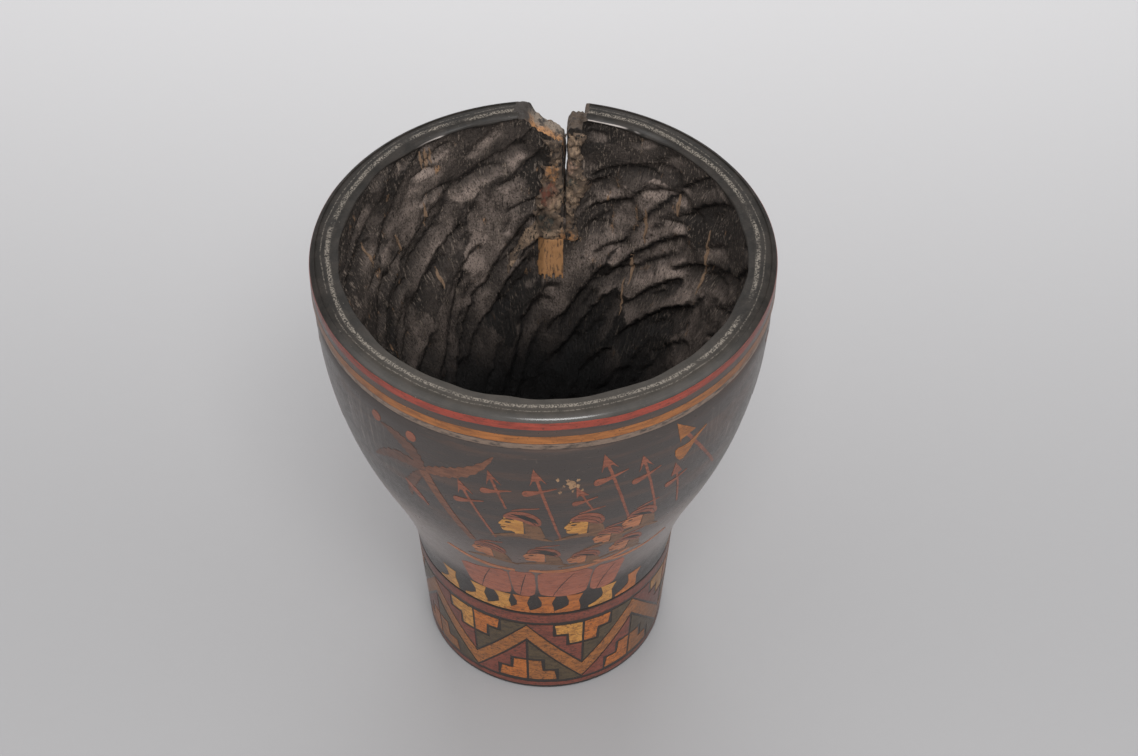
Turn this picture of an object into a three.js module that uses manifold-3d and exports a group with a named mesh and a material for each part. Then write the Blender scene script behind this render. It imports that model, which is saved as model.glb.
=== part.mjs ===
// A kero: a waisted wooden drinking beaker carved from one block, with coloured resin inlays
// let into shallow recesses of its outer face, and an old split through its rim.
// Millimetres, +Z up, origin at the middle of the flat base. Angles are in degrees round the
// axis, from the front of the cup (-Y) towards +X.
import * as THREE from "three";
import { mergeVertices } from "three/addons/utils/BufferGeometryUtils.js";
import Module from "manifold-3d";

// The cup's outer shape.
const CUP_HEIGHT = 200;
const RIM_RADIUS = 84.6;
const COLLAR_HEIGHT = 15.5;
const LEDGE_DEPTH = 0.7;
const FLARE_RADIUS = 68;
const FLARE_HEIGHT = 105;
const FLARE_SLOPE = 0.42;
const WAIST_RADIUS = 51.8;
const WAIST_HEIGHT = 53;
const WAIST_SLOPE = 0.1;
const FOOT_RADIUS = 48.4;
const FOOT_CHAMFER = 0.8;

// The mouth and the bore.
const LIP_WIDTH = 11;
const LIP_ROUNDING = 2.2;
const LIP_EDGE = 1.2;
const LIP_DEPTH = 2;
const BORE_WALL = 9.5;
const FLOOR_THICKNESS = 42;
const FLOOR_ROUNDING = 12;

// The marks that the carver's gouge left all over the bore. Each slopes down to its upper edge, where the
// wood broke away. Marks lean further from the upright towards the lip, and run out at the bore's ends.
const GOUGE_COUNT = 110;
const GOUGE_DEPTH = 5.2;
const GOUGE_LEAST_DEPTH = 1.6;
const GOUGE_LENGTH = 64;
const GOUGE_LEAST_LENGTH = 36;
const GOUGE_WIDTH = 22;
const GOUGE_LEAST_WIDTH = 10;
const GOUGE_CREST = 0.8;
const GOUGE_BEND = 0.35;
const GOUGE_LOW_LEAN = 6;
const GOUGE_HIGH_LEAN = 58;
const GOUGE_LEAN_SPREAD = 34;
const GOUGE_RUN_OUT = 3;
const GOUGE_MARGIN = 2;
// Steps that scatter the marks evenly: round the cup, up it, and through their sizes and depths.
const GOUGE_SCATTER = [0.7548776662, 0.569840291, 0.6180339887, 0.8191725134];

// The line turned into the waist.
const GROOVE_WIDTH = 1.2;
const GROOVE_DEPTH = 0.7;

// Every inlay lies flush in a recess that is a little wider and deeper than itself.
const RECESS_DEPTH = 1.2;
const INLAY_CLEARANCE = 0.3;

// The plain rings: where each one's lower edge lies, and how tall it is.
const RED_RING_DROP = 5.2;
const RED_RING_HEIGHT = 3;
const OCHRE_RING_DROP = 12;
const OCHRE_RING_HEIGHT = 4;
const WAIST_RING_DROP = 6.5;
const WAIST_RING_HEIGHT = 5;
const BASE_RING_LIFT = 1;
const BASE_RING_HEIGHT = 2.6;

// The zigzag round the foot, and the stepped motifs in the triangles above and below it.
const ZIGZAG_COUNT = 7;
const ZIGZAG_TURN = 18;
const ZIGZAG_WIDTH = 4.2;
const ZIGZAG_MARGIN = 1.6;
const MOTIF_MARGIN = 1.4;
const MOTIF_BASE_WIDTH = 23;
const MOTIF_BASE_HEIGHT = 6;
const MOTIF_TOP_WIDTH = 12;
const MOTIF_TOP_HEIGHT = 7;

// The split in the rim: a V whose right-hand side keeps a stub, and the crack that runs down from it.
const SPLIT_ANGLE = 174.3;
const CHIP_WIDTH = 20;
const CHIP_DEPTH = 15.5;
const STUB_WIDTH = 7;
const STUB_DROP = 7.4;
const CRACK_WIDTH = 1.4;
const CRACK_LENGTH = 35;

// The filler that an old repair left over the foot of the crack, inside the cup.
const FILL_WIDTH = 11;
const FILL_LENGTH = 42;
const FILL_DEPTH = 2.5;
const FILL_OVERLAP = 15;

// The procession between waist and collar: a palm, then cloaks, heads and spears, three times round.
const PROCESSIONS = 3;
const CLOAK_TAPER = 1;
const CLOAKS = [
  { angle: -22, spread: 17 },
  { angle: -7.5, spread: 8 },
  { angle: 8, spread: 17 },
  { angle: 24, spread: 11 },
];
const HEAD_WIDTH = 11;
const HEAD_HEIGHT = 13;
const HEADS = [
  { angle: -16, row: 0.43 },
  { angle: -6, row: 0.645 },
  { angle: 0, row: 0.43 },
  { angle: 11, row: 0.63 },
];
const SPEAR_LEAN = 11;
const SPEAR_SHAFT = 1.2;
const SPEAR_BAR = 12;
const SPEAR_BLADE = 3.2;
const SPEAR_POINT = 5;
const SPEAR_POINT_WIDTH = 5;
const SPEARS = [
  { angle: -17, tip: 0.83 },
  { angle: 1.5, tip: 0.91 },
  { angle: 19.5, tip: 0.95 },
];
const PALM_ANGLE = -26;
const PALM_LEAN = 13;
const PALM_TRUNK = 3;
const FROND_LENGTH = 28;
const FROND_WIDTH = 6;
const FROND_DIRECTIONS = [41, 115, 165, 230];

// Heights of the procession's rows, as shares of the field between the waist and the collar.
const CLOAK_HEM_ROW = 0.11;
const CLOAK_NECK_ROW = 0.3;
const SPEAR_FOOT_ROW = 0.55;
const PALM_FOOT_ROW = 0.52;
const PALM_CROWN_ROW = 0.81;

// How finely round shapes are faceted, and how far a cutter runs past what it cuts.
const SEGMENTS = 44;
const WALL_ROWS = 8;
const ARC_STEPS = 3;
const ZIGZAG_STEPS = 3;
const GOUGE_COLUMNS = 68;
const GOUGE_ROWS = 16;
const OVERSHOOT = 5;
const MERGE_DISTANCE = 1e-4;

const wasm = await Module();
wasm.setup();

const COLOURS = {
  wood: 0x2a221d,
  filler: 0x7a6a55,
  red: 0x8c2f22,
  ochre: 0xc07a24,
  brown: 0x6b2f22,
  rust: 0x9a4528,
  leaf: 0x5a3a22,
};
const materials = Object.fromEntries(
  Object.entries(COLOURS).map(([name, color]) => [
    name,
    new THREE.MeshStandardMaterial({ color, roughness: name === "filler" ? 0.9 : 0.45, metalness: 0 }),
  ]),
);

const radians = THREE.MathUtils.degToRad;
const point = (radius, height) => new THREE.Vector2(radius, height);

// A closed three.js geometry as a solid that can be joined and cut.
function solidOf(geometry) {
  const bare = geometry.clone();
  bare.deleteAttribute("normal");
  bare.deleteAttribute("uv");
  const merged = mergeVertices(bare, MERGE_DISTANCE);
  const corners = merged.index.array;
  const kept = [];
  for (let i = 0; i < corners.length; i += 3) {
    const [a, b, c] = corners.slice(i, i + 3);
    if (a !== b && b !== c && c !== a) kept.push(a, b, c);
  }
  const vertProperties = merged.attributes.position.array;
  return new wasm.Manifold(new wasm.Mesh({ numProp: 3, vertProperties, triVerts: new Uint32Array(kept) }));
}

// A closed solid from the corners and the triangles that bound it.
function boundBy(vertices, faces) {
  const geometry = new THREE.BufferGeometry();
  geometry.setAttribute("position", new THREE.Float32BufferAttribute(vertices, 3));
  geometry.setIndex(faces);
  return solidOf(geometry);
}

// A solid as a named mesh.
function meshOf(name, solid, material) {
  const { vertProperties, triVerts } = solid.getMesh();
  const geometry = new THREE.BufferGeometry();
  geometry.setAttribute("position", new THREE.BufferAttribute(vertProperties, 3));
  geometry.setIndex(new THREE.BufferAttribute(triVerts, 1));
  geometry.computeVertexNormals();
  const mesh = new THREE.Mesh(geometry, material);
  mesh.name = name;
  return mesh;
}

// A profile of radius and height, turned round the cup's axis.
function turned(profile) {
  return solidOf(new THREE.LatheGeometry(profile, SEGMENTS).rotateX(Math.PI / 2));
}

// An outline in the plane that faces an angle, driven outwards from the axis.
function driven(outline, angle) {
  const shape = new THREE.Shape(outline.map(([x, z]) => point(x, z)));
  const depth = RIM_RADIUS + OVERSHOOT;
  const geometry = new THREE.ExtrudeGeometry(shape, { depth, bevelEnabled: false });
  return solidOf(geometry.rotateX(Math.PI / 2).rotateZ(radians(angle)));
}

// The outline with every edge moved outwards by a distance. Its points run anticlockwise.
function grown(outline, distance) {
  const count = outline.length;
  return outline.map(([x, z], i) => {
    const [px, pz] = outline[(i + count - 1) % count];
    const [nx, nz] = outline[(i + 1) % count];
    const before = point(x - px, z - pz).normalize();
    const after = point(nx - x, nz - z).normalize();
    const reach = distance / (1 + before.dot(after));
    return [x + (before.y + after.y) * reach, z - (before.x + after.x) * reach];
  });
}

// The outer wall, from the foot's lower edge to the ledge under the collar.
const ledgeHeight = CUP_HEIGHT - COLLAR_HEIGHT;
const bodyRadius = RIM_RADIUS - LEDGE_DEPTH;
const footLine = [point(FOOT_RADIUS, FOOT_CHAMFER), point(WAIST_RADIUS, WAIST_HEIGHT)];
const coveRise = (FLARE_HEIGHT - WAIST_HEIGHT) / 3;
const bulgeRise = (ledgeHeight - FLARE_HEIGHT) / 3;
const cove = new THREE.CubicBezierCurve(
  footLine[1],
  point(WAIST_RADIUS + WAIST_SLOPE * coveRise, WAIST_HEIGHT + coveRise),
  point(FLARE_RADIUS - FLARE_SLOPE * coveRise, FLARE_HEIGHT - coveRise),
  point(FLARE_RADIUS, FLARE_HEIGHT),
);
const bulge = new THREE.CubicBezierCurve(
  point(FLARE_RADIUS, FLARE_HEIGHT),
  point(FLARE_RADIUS + FLARE_SLOPE * bulgeRise, FLARE_HEIGHT + bulgeRise),
  point(bodyRadius, ledgeHeight - bulgeRise),
  point(bodyRadius, ledgeHeight),
);
const flaredWall = [...cove.getPoints(WALL_ROWS / 2), ...bulge.getPoints(WALL_ROWS / 2).slice(1)];
const outerWall = [footLine[0], ...flaredWall];

// A wall's radius at a height, on its facets.
function radiusOn(wall, height) {
  const last = wall.length - 1;
  const above = wall.findIndex((p) => p.y >= height);
  const top = above < 0 ? last : Math.max(above, 1);
  const [low, high] = [wall[top - 1], wall[top]];
  return THREE.MathUtils.mapLinear(height, low.y, high.y, low.x, high.x);
}
const wallRadius = (height) => radiusOn(outerWall, height);
const collarRadius = () => RIM_RADIUS;

// Each plain ring's band on the wall.
const rings = {
  rim_red_ring: { low: CUP_HEIGHT - RED_RING_DROP, tall: RED_RING_HEIGHT, on: collarRadius, colour: "red" },
  rim_ochre_ring: {
    low: CUP_HEIGHT - OCHRE_RING_DROP,
    tall: OCHRE_RING_HEIGHT,
    on: collarRadius,
    colour: "ochre",
  },
  waist_red_ring: {
    low: WAIST_HEIGHT - WAIST_RING_DROP,
    tall: WAIST_RING_HEIGHT,
    on: wallRadius,
    colour: "red",
  },
  base_red_ring: {
    low: FOOT_CHAMFER + BASE_RING_LIFT,
    tall: BASE_RING_HEIGHT,
    on: wallRadius,
    colour: "red",
  },
};

// The recess of a ring, as steps in the cup's profile, from low to high.
function ringRecess({ low, tall, on }) {
  const high = low + tall;
  return [
    point(on(low), low),
    point(on(low) - RECESS_DEPTH, low),
    point(on(high) - RECESS_DEPTH, high),
    point(on(high), high),
  ];
}

// The ring itself, clear of its recess's floor and sides.
function ringInlay({ low, tall, on }) {
  const bottom = low + INLAY_CLEARANCE;
  const top = low + tall - INLAY_CLEARANCE;
  const thickness = RECESS_DEPTH - INLAY_CLEARANCE;
  const outside = [point(on(bottom), bottom), point(on(top), top)];
  const inside = outside.map((p) => point(p.x - thickness, p.y)).reverse();
  return turned([...outside, ...inside, outside[0]]);
}

// Points on a quarter circle, from one angle to another.
function arc(centre, radius, from, to) {
  return Array.from({ length: ARC_STEPS + 1 }, (_, i) => {
    const angle = radians(THREE.MathUtils.lerp(from, to, i / ARC_STEPS));
    return point(centre.x + radius * Math.cos(angle), centre.y + radius * Math.sin(angle));
  });
}

// The bore before it is gouged, from the floor's rounding up to the smooth band inside the lip.
const boreFoot = FLOOR_THICKNESS + FLOOR_ROUNDING;
const lipRadius = RIM_RADIUS - LIP_WIDTH;
const boreTop = point(bodyRadius - BORE_WALL, CUP_HEIGHT - LIP_DEPTH);
const boreBottom = point(wallRadius(boreFoot) - BORE_WALL, boreFoot);
const boreWall = [
  boreBottom,
  ...flaredWall.filter((p) => p.y > boreFoot && p.y < boreTop.y).map((p) => point(p.x - BORE_WALL, p.y)),
  boreTop,
];
const boreRadius = (height) => radiusOn(boreWall, height);

// The heights between which the filler lies.
const fillHigh = CUP_HEIGHT - CHIP_DEPTH - CRACK_LENGTH + FILL_OVERLAP;
const fillLow = fillHigh - FILL_LENGTH;

// The blank's section: up the cup's outside and over to the middle of its top.
function blankProfile() {
  const groove = [
    point(wallRadius(WAIST_HEIGHT - GROOVE_WIDTH / 2), WAIST_HEIGHT - GROOVE_WIDTH / 2),
    point(WAIST_RADIUS - GROOVE_DEPTH, WAIST_HEIGHT),
    point(wallRadius(WAIST_HEIGHT + GROOVE_WIDTH / 2), WAIST_HEIGHT + GROOVE_WIDTH / 2),
  ];
  const outerLip = arc(point(RIM_RADIUS - LIP_ROUNDING, CUP_HEIGHT - LIP_ROUNDING), LIP_ROUNDING, 0, 90);
  return [
    point(0, 0),
    point(FOOT_RADIUS - FOOT_CHAMFER, 0),
    footLine[0],
    ...ringRecess(rings.base_red_ring),
    ...ringRecess(rings.waist_red_ring),
    ...groove,
    ...flaredWall.slice(1),
    point(RIM_RADIUS, ledgeHeight + LEDGE_DEPTH),
    ...ringRecess(rings.rim_ochre_ring),
    ...ringRecess(rings.rim_red_ring),
    ...outerLip,
    point(0, CUP_HEIGHT),
  ];
}

// The gouge marks, one by one.
const { clamp, lerp } = THREE.MathUtils;
const gouges = Array.from({ length: GOUGE_COUNT }, (_, number) => {
  const [turn, rise, size, cut] = GOUGE_SCATTER.map((step) => ((number + 0.5) * step) % 1);
  const lean = lerp(GOUGE_LOW_LEAN, GOUGE_HIGH_LEAN, rise) + GOUGE_LEAN_SPREAD * (cut - 0.5);
  return {
    angle: 360 * turn,
    level: lerp(boreFoot, boreTop.y, rise),
    up: Math.cos(radians(lean)),
    over: Math.sin(radians(lean)),
    along: lerp(GOUGE_LEAST_LENGTH, GOUGE_LENGTH, size) / 2,
    across: lerp(GOUGE_LEAST_WIDTH, GOUGE_WIDTH, size) / 2,
    depth: lerp(GOUGE_LEAST_DEPTH, GOUGE_DEPTH, cut),
  };
});

// How far a place in the bore lies round from an angle, along the wall.
function roundFrom(angle, place, height) {
  return radians(THREE.MathUtils.euclideanModulo(place - angle + 180, 360) - 180) * boreRadius(height);
}

// How deep one gouge mark is at a place in the bore.
function markDepth(mark, angle, height) {
  const aside = roundFrom(mark.angle, angle, height);
  const rise = height - mark.level;
  const run = (rise * mark.up - aside * mark.over) / mark.along;
  const off = (rise * mark.over + aside * mark.up) / mark.across + GOUGE_BEND * run ** 2;
  const slope = clamp((off + 1) / (GOUGE_CREST + 1), 0, 1);
  const brink = clamp((1 - off) / (1 - GOUGE_CREST), 0, 1);
  return mark.depth * slope * brink * clamp(1 - run ** 4, 0, 1);
}

// How deep the bore is gouged at a place: not at its ends, nor round the filler and the crack over it.
function gougeDepth(angle, height) {
  const fromEnds = Math.min(boreTop.y - height, height - boreFoot);
  const beside = Math.abs(roundFrom(SPLIT_ANGLE, angle, height)) - FILL_WIDTH / 2;
  const fromFill = Math.max(beside, fillLow - height) - GOUGE_MARGIN;
  const share = clamp(Math.min(fromEnds, fromFill) / GOUGE_RUN_OUT, 0, 1);
  return share * Math.max(...gouges.map((mark) => markDepth(mark, angle, height)));
}

// The mouth and the gouged bore, cut from the blank row by row, from the floor up past the lip.
function boreCutter() {
  const floorEdge = point(boreBottom.x - FLOOR_ROUNDING, boreFoot);
  const innerLip = arc(point(lipRadius + LIP_EDGE, CUP_HEIGHT - LIP_EDGE), LIP_EDGE, 180, 90);
  const [shoulder, brow] = innerLip.splice(-2);
  const past = brow.clone().multiplyScalar(2).sub(shoulder);
  const wall = Array.from({ length: GOUGE_ROWS + 1 }, (_, i) => {
    const height = lerp(boreFoot, boreTop.y, i / GOUGE_ROWS);
    return point(boreRadius(height), height);
  });
  const rows = [
    ...arc(floorEdge, FLOOR_ROUNDING, -90, 0).slice(0, -1),
    ...wall,
    point(lipRadius, boreTop.y),
    ...innerLip,
    shoulder,
    past,
    point(past.x, CUP_HEIGHT + OVERSHOOT),
  ];
  const vertices = [];
  const faces = [];
  const floorMiddle = GOUGE_COLUMNS * rows.length;
  const topMiddle = floorMiddle + 1;
  const topRow = floorMiddle - GOUGE_COLUMNS;
  rows.forEach((place, j) => {
    for (let i = 0; i < GOUGE_COLUMNS; i += 1) {
      const angle = (360 * i) / GOUGE_COLUMNS;
      const radius = place.x + (wall.includes(place) ? gougeDepth(angle, place.y) : 0);
      vertices.push(radius * Math.sin(radians(angle)), -radius * Math.cos(radians(angle)), place.y);
      const next = (i + 1) % GOUGE_COLUMNS;
      const [here, beside] = [GOUGE_COLUMNS * j + i, GOUGE_COLUMNS * j + next];
      const [over, across] = [here + GOUGE_COLUMNS, beside + GOUGE_COLUMNS];
      if (over < floorMiddle) faces.push(here, beside, over, beside, across, over);
    }
  });
  for (let i = 0; i < GOUGE_COLUMNS; i += 1) {
    const next = (i + 1) % GOUGE_COLUMNS;
    faces.push(floorMiddle, next, i, topMiddle, topRow + i, topRow + next);
  }
  vertices.push(0, 0, FLOOR_THICKNESS, 0, 0, CUP_HEIGHT + OVERSHOOT);
  return boundBy(vertices, faces);
}

// A skin that follows a wall, between two distances outwards from it.
function skin(wall, inner, outer) {
  const outside = wall.map((p) => point(p.x + outer, p.y));
  const inside = wall.map((p) => point(p.x + inner, p.y)).reverse();
  return turned([...outside, ...inside, outside[0]]);
}
const inlaySkin = skin(outerWall, INLAY_CLEARANCE - RECESS_DEPTH, 0);
const recessSkin = skin(outerWall, -RECESS_DEPTH, OVERSHOOT);

const kero = new THREE.Group();
const recesses = [];

// An inlay of one or more joined outlines, and the recess that it lies in.
function addInlay(name, outlines, angle, colour) {
  const joined = (list) => list.map((o) => driven(o, angle)).reduce((a, b) => a.add(b));
  const motif = joined(outlines).intersect(inlaySkin);
  recesses.push(joined(outlines.map((o) => grown(o, INLAY_CLEARANCE))).intersect(recessSkin));
  kero.add(meshOf(name, motif, materials[colour]));
}

// The zigzag: one ribbon round the foot, of a given height and between two distances from the wall.
const fieldLow = rings.base_red_ring.low + BASE_RING_HEIGHT;
const fieldHigh = rings.waist_red_ring.low;
const zigzagPeriod = 360 / ZIGZAG_COUNT;
const halfPeriod = (Math.PI * (wallRadius(fieldLow) + wallRadius(fieldHigh))) / (2 * ZIGZAG_COUNT);
const ribbonSlope = (fieldHigh - fieldLow) / halfPeriod;
const ribbonHalf = (ZIGZAG_WIDTH / 2) * Math.hypot(1, ribbonSlope);
const zigzagLow = fieldLow + ZIGZAG_MARGIN + ribbonHalf;
const zigzagHigh = fieldHigh - ZIGZAG_MARGIN - ribbonHalf;

function zigzag(half, inner, outer) {
  const stations = ZIGZAG_COUNT * 2 * ZIGZAG_STEPS;
  const vertices = [];
  const faces = [];
  for (let i = 0; i < stations; i += 1) {
    const share = (i % (2 * ZIGZAG_STEPS)) / ZIGZAG_STEPS;
    const height = THREE.MathUtils.lerp(zigzagLow, zigzagHigh, share < 1 ? share : 2 - share);
    const angle = radians(ZIGZAG_TURN + (360 * i) / stations);
    const section = [
      [outer, -half],
      [outer, half],
      [inner, half],
      [inner, -half],
    ];
    for (const [out, up] of section) {
      const radius = wallRadius(height + up) + out;
      vertices.push(radius * Math.sin(angle), -radius * Math.cos(angle), height + up);
    }
    const here = 4 * i;
    const next = 4 * ((i + 1) % stations);
    for (let side = 0; side < 4; side += 1) {
      const other = (side + 1) % 4;
      faces.push(here + side, next + side, next + other, here + side, next + other, here + other);
    }
  }
  return boundBy(vertices, faces);
}

function addZigzag() {
  const ribbon = zigzag(ribbonHalf, INLAY_CLEARANCE - RECESS_DEPTH, 0);
  const clearance = INLAY_CLEARANCE * Math.hypot(1, ribbonSlope);
  recesses.push(zigzag(ribbonHalf + clearance, -RECESS_DEPTH, OVERSHOOT));
  kero.add(meshOf("zigzag_ribbon", ribbon, materials.ochre));
}

// A stepped motif of two rows, standing on a base line or hanging from it.
function stepOutline(base, up) {
  const wide = MOTIF_BASE_WIDTH / 2;
  const narrow = MOTIF_TOP_WIDTH / 2;
  const shoulder = base + up * MOTIF_BASE_HEIGHT;
  const top = shoulder + up * MOTIF_TOP_HEIGHT;
  const right = [
    [wide, base],
    [wide, shoulder],
    [narrow, shoulder],
    [narrow, top],
  ];
  const outline = [...right, ...right.map(([x, z]) => [-x, z]).reverse()];
  return up > 0 ? outline : outline.reverse();
}

function addSteps() {
  for (let i = 0; i < ZIGZAG_COUNT; i += 1) {
    const valley = ZIGZAG_TURN + zigzagPeriod * i;
    addInlay(`hanging_step_${i + 1}`, [stepOutline(fieldHigh - MOTIF_MARGIN, -1)], valley, "ochre");
    const peak = valley + zigzagPeriod / 2;
    addInlay(`rising_step_${i + 1}`, [stepOutline(fieldLow + MOTIF_MARGIN, 1)], peak, "ochre");
  }
}

// The procession's rows.
const row = (share) => THREE.MathUtils.lerp(WAIST_HEIGHT, ledgeHeight, share);

// A cloak that spreads over an angle of the wall, drawn in a little at the neck.
function cloakOutline(spread) {
  const hemHeight = row(CLOAK_HEM_ROW);
  const neckHeight = row(CLOAK_NECK_ROW);
  const hem = wallRadius(hemHeight) * Math.sin(radians(spread / 2));
  const neck = wallRadius(neckHeight) * Math.sin(radians(spread / 2)) - CLOAK_TAPER;
  return [
    [-hem, hemHeight],
    [hem, hemHeight],
    [neck, neckHeight],
    [-neck, neckHeight],
  ];
}

// A plain head in profile, looking left, with hair to the nape.
function headOutline(centre) {
  const across = HEAD_WIDTH / 2;
  const tall = HEAD_HEIGHT / 2;
  const shape = [
    [-0.45, -0.9],
    [0.9, -1],
    [1, 0.3],
    [0.5, 1],
    [-0.5, 0.9],
    [-0.75, 0.2],
    [-1, -0.15],
    [-0.75, -0.45],
  ];
  return shape.map(([x, z]) => [x * across, centre + z * tall]);
}

// A leaning spear: shaft, cross blade and barbed point.
function spearOutlines(tip) {
  const foot = row(SPEAR_FOOT_ROW);
  const neck = tip - SPEAR_POINT;
  const leanAt = (z) => SPEAR_LEAN / 2 - (SPEAR_LEAN * (z - foot)) / (tip - foot);
  const half = SPEAR_SHAFT / 2;
  const bar = THREE.MathUtils.lerp(foot, neck, 0.72);
  const shaft = [
    [leanAt(foot) - half, foot],
    [leanAt(foot) + half, foot],
    [leanAt(neck + half) + half, neck + half],
    [leanAt(neck + half) - half, neck + half],
  ];
  const blade = [
    [leanAt(bar) - SPEAR_BAR / 2, bar - SPEAR_BLADE / 2 - half],
    [leanAt(bar) + SPEAR_BAR / 2, bar + half],
    [leanAt(bar) + SPEAR_BAR / 2, bar + 3 * half],
    [leanAt(bar) - SPEAR_BAR / 2, bar + SPEAR_BLADE / 2 - half],
  ];
  const head = [
    [leanAt(neck) - SPEAR_POINT_WIDTH / 2, neck],
    [leanAt(neck) + SPEAR_POINT_WIDTH / 2, neck],
    [leanAt(tip), tip],
  ];
  return [shaft, blade, head];
}

// A palm: a leaning trunk and leaf-shaped fronds that spread from its crown.
function palmOutlines() {
  const foot = point(PALM_LEAN / 2, row(PALM_FOOT_ROW));
  const crown = point(-PALM_LEAN / 2, row(PALM_CROWN_ROW));
  const half = PALM_TRUNK / 2;
  const trunk = [
    [foot.x - half, foot.y],
    [foot.x + half, foot.y],
    [crown.x + half, crown.y],
    [crown.x - half, crown.y],
  ];
  const fronds = FROND_DIRECTIONS.map((direction) => {
    const along = point(Math.cos(radians(direction)), Math.sin(radians(direction)));
    const leaf = [
      [-half, 0],
      [FROND_LENGTH / 2, -FROND_WIDTH / 2],
      [FROND_LENGTH, 0],
      [FROND_LENGTH / 2, FROND_WIDTH / 2],
    ];
    return leaf.map(([u, v]) => [
      crown.x + u * along.x - v * along.y,
      crown.y + u * along.y + v * along.x,
    ]);
  });
  return [trunk, ...fronds];
}

function addProcessions() {
  for (let i = 0; i < PROCESSIONS; i += 1) {
    const turn = (360 * i) / PROCESSIONS;
    const place = `${i + 1}`;
    addInlay(`palm_${place}`, palmOutlines(), turn + PALM_ANGLE, "leaf");
    CLOAKS.forEach(({ angle, spread }, k) => {
      addInlay(`cloak_${place}_${k + 1}`, [cloakOutline(spread)], turn + angle, "brown");
    });
    HEADS.forEach(({ angle, row: share }, k) => {
      addInlay(`head_${place}_${k + 1}`, [headOutline(row(share))], turn + angle, "ochre");
    });
    SPEARS.forEach(({ angle, tip }, k) => {
      addInlay(`spear_${place}_${k + 1}`, spearOutlines(row(tip)), turn + angle, "rust");
    });
  }
}

// The split, in the plane that faces it from outside: the chip lies on the +x side.
function splitCutter() {
  const top = CUP_HEIGHT + OVERSHOOT;
  const bottom = CUP_HEIGHT - CHIP_DEPTH;
  const stub = CUP_HEIGHT - STUB_DROP;
  const half = CRACK_WIDTH / 2;
  const chipSlope = (CHIP_WIDTH - half) / CHIP_DEPTH;
  const outline = [
    [0, bottom - CRACK_LENGTH],
    [half, bottom],
    [CHIP_WIDTH + chipSlope * OVERSHOOT, top],
    [-STUB_WIDTH - half, top],
    [-STUB_WIDTH - half, stub],
    [-half, stub],
    [-half, bottom],
  ];
  return driven(outline, SPLIT_ANGLE);
}

// The filler: a slab let into the bore over the lower end of the crack.
function fillOutline() {
  return [
    [-FILL_WIDTH / 2, fillLow],
    [FILL_WIDTH / 2, fillLow],
    [FILL_WIDTH / 2, fillHigh],
    [-FILL_WIDTH / 2, fillHigh],
  ];
}

function addCup() {
  const split = splitCutter();
  const slab = driven(fillOutline(), SPLIT_ANGLE).intersect(skin(boreWall, 0, FILL_DEPTH));
  const pocket = driven(grown(fillOutline(), INLAY_CLEARANCE), SPLIT_ANGLE);
  recesses.push(pocket.intersect(skin(boreWall, -OVERSHOOT, FILL_DEPTH + INLAY_CLEARANCE)));
  kero.add(meshOf("crack_filler", slab, materials.filler));
  for (const [name, ring] of Object.entries(rings)) {
    kero.add(meshOf(name, ringInlay(ring).subtract(split), materials[ring.colour]));
  }
  const hollow = turned(blankProfile()).subtract(boreCutter());
  const carved = recesses.reduce((cup, recess) => cup.subtract(recess), hollow);
  kero.add(meshOf("cup_body", carved.subtract(split), materials.wood));
}

addZigzag();
addSteps();
addProcessions();
addCup();

export default kero;
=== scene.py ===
"""Dresses a kero, a carved wooden beaker with resin inlays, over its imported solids.

Sizes are in millimetres, and a mesh is brought to metres when it is finished. Angles go round the cup's
axis in degrees, from its front (-Y) towards +X. Outlines run anticlockwise as seen from outside the cup.
"""
import logging
import math
import random
from dataclasses import dataclass
from enum import Enum
from typing import Callable, Iterable, Sequence

import bmesh
import bpy
import numpy as np
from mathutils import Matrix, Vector, noise


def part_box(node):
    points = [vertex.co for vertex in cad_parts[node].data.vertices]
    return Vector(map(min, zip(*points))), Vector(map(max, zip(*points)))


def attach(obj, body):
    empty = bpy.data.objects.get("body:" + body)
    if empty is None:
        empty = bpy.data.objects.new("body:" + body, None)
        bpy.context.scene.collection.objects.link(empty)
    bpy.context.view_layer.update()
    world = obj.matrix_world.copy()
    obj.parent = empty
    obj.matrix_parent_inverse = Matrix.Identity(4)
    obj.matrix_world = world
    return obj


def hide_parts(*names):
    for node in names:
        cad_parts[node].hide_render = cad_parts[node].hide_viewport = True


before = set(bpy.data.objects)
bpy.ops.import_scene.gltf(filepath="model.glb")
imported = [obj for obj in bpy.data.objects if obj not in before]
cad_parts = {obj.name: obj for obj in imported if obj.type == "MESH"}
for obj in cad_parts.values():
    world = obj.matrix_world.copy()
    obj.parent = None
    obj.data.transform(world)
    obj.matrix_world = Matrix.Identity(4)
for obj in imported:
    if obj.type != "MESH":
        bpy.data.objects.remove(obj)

LOG = logging.getLogger("kero")
MM = 0.001
BODY = "root"
NOISE_SEED = 7
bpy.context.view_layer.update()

Point = tuple[float, float]
Outline = list[Point]
Colour = tuple[float, float, float]
Place = tuple[float, float, float]


def lerp(low: float, high: float, share: float) -> float:
    """The number that lies a share of the way from one number to another."""
    return low + (high - low) * share


def cubic(share: np.ndarray, a: float, b: float, c: float, d: float) -> np.ndarray:
    """The Bezier cubic of four control values.

    Args:
        share: how far along the curve, from 0 to 1.
        a: value at the start.
        b: first handle.
        c: second handle.
        d: value at the end.

    Returns:
        The curve's value at each share.
    """
    rest = 1 - share
    return a * rest**3 + 3 * b * rest**2 * share + 3 * c * rest * share**2 + d * share**3


def rounded(outline: Outline, rounds: int = 2) -> Outline:
    """Softens an outline by cutting each of its corners, a number of times over."""
    for _ in range(rounds):
        soft = []
        for (x0, y0), (x1, y1) in zip(outline, outline[1:] + outline[:1]):
            soft.append((0.75 * x0 + 0.25 * x1, 0.75 * y0 + 0.25 * y1))
            soft.append((0.25 * x0 + 0.75 * x1, 0.25 * y0 + 0.75 * y1))
        outline = soft
    return outline


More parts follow.
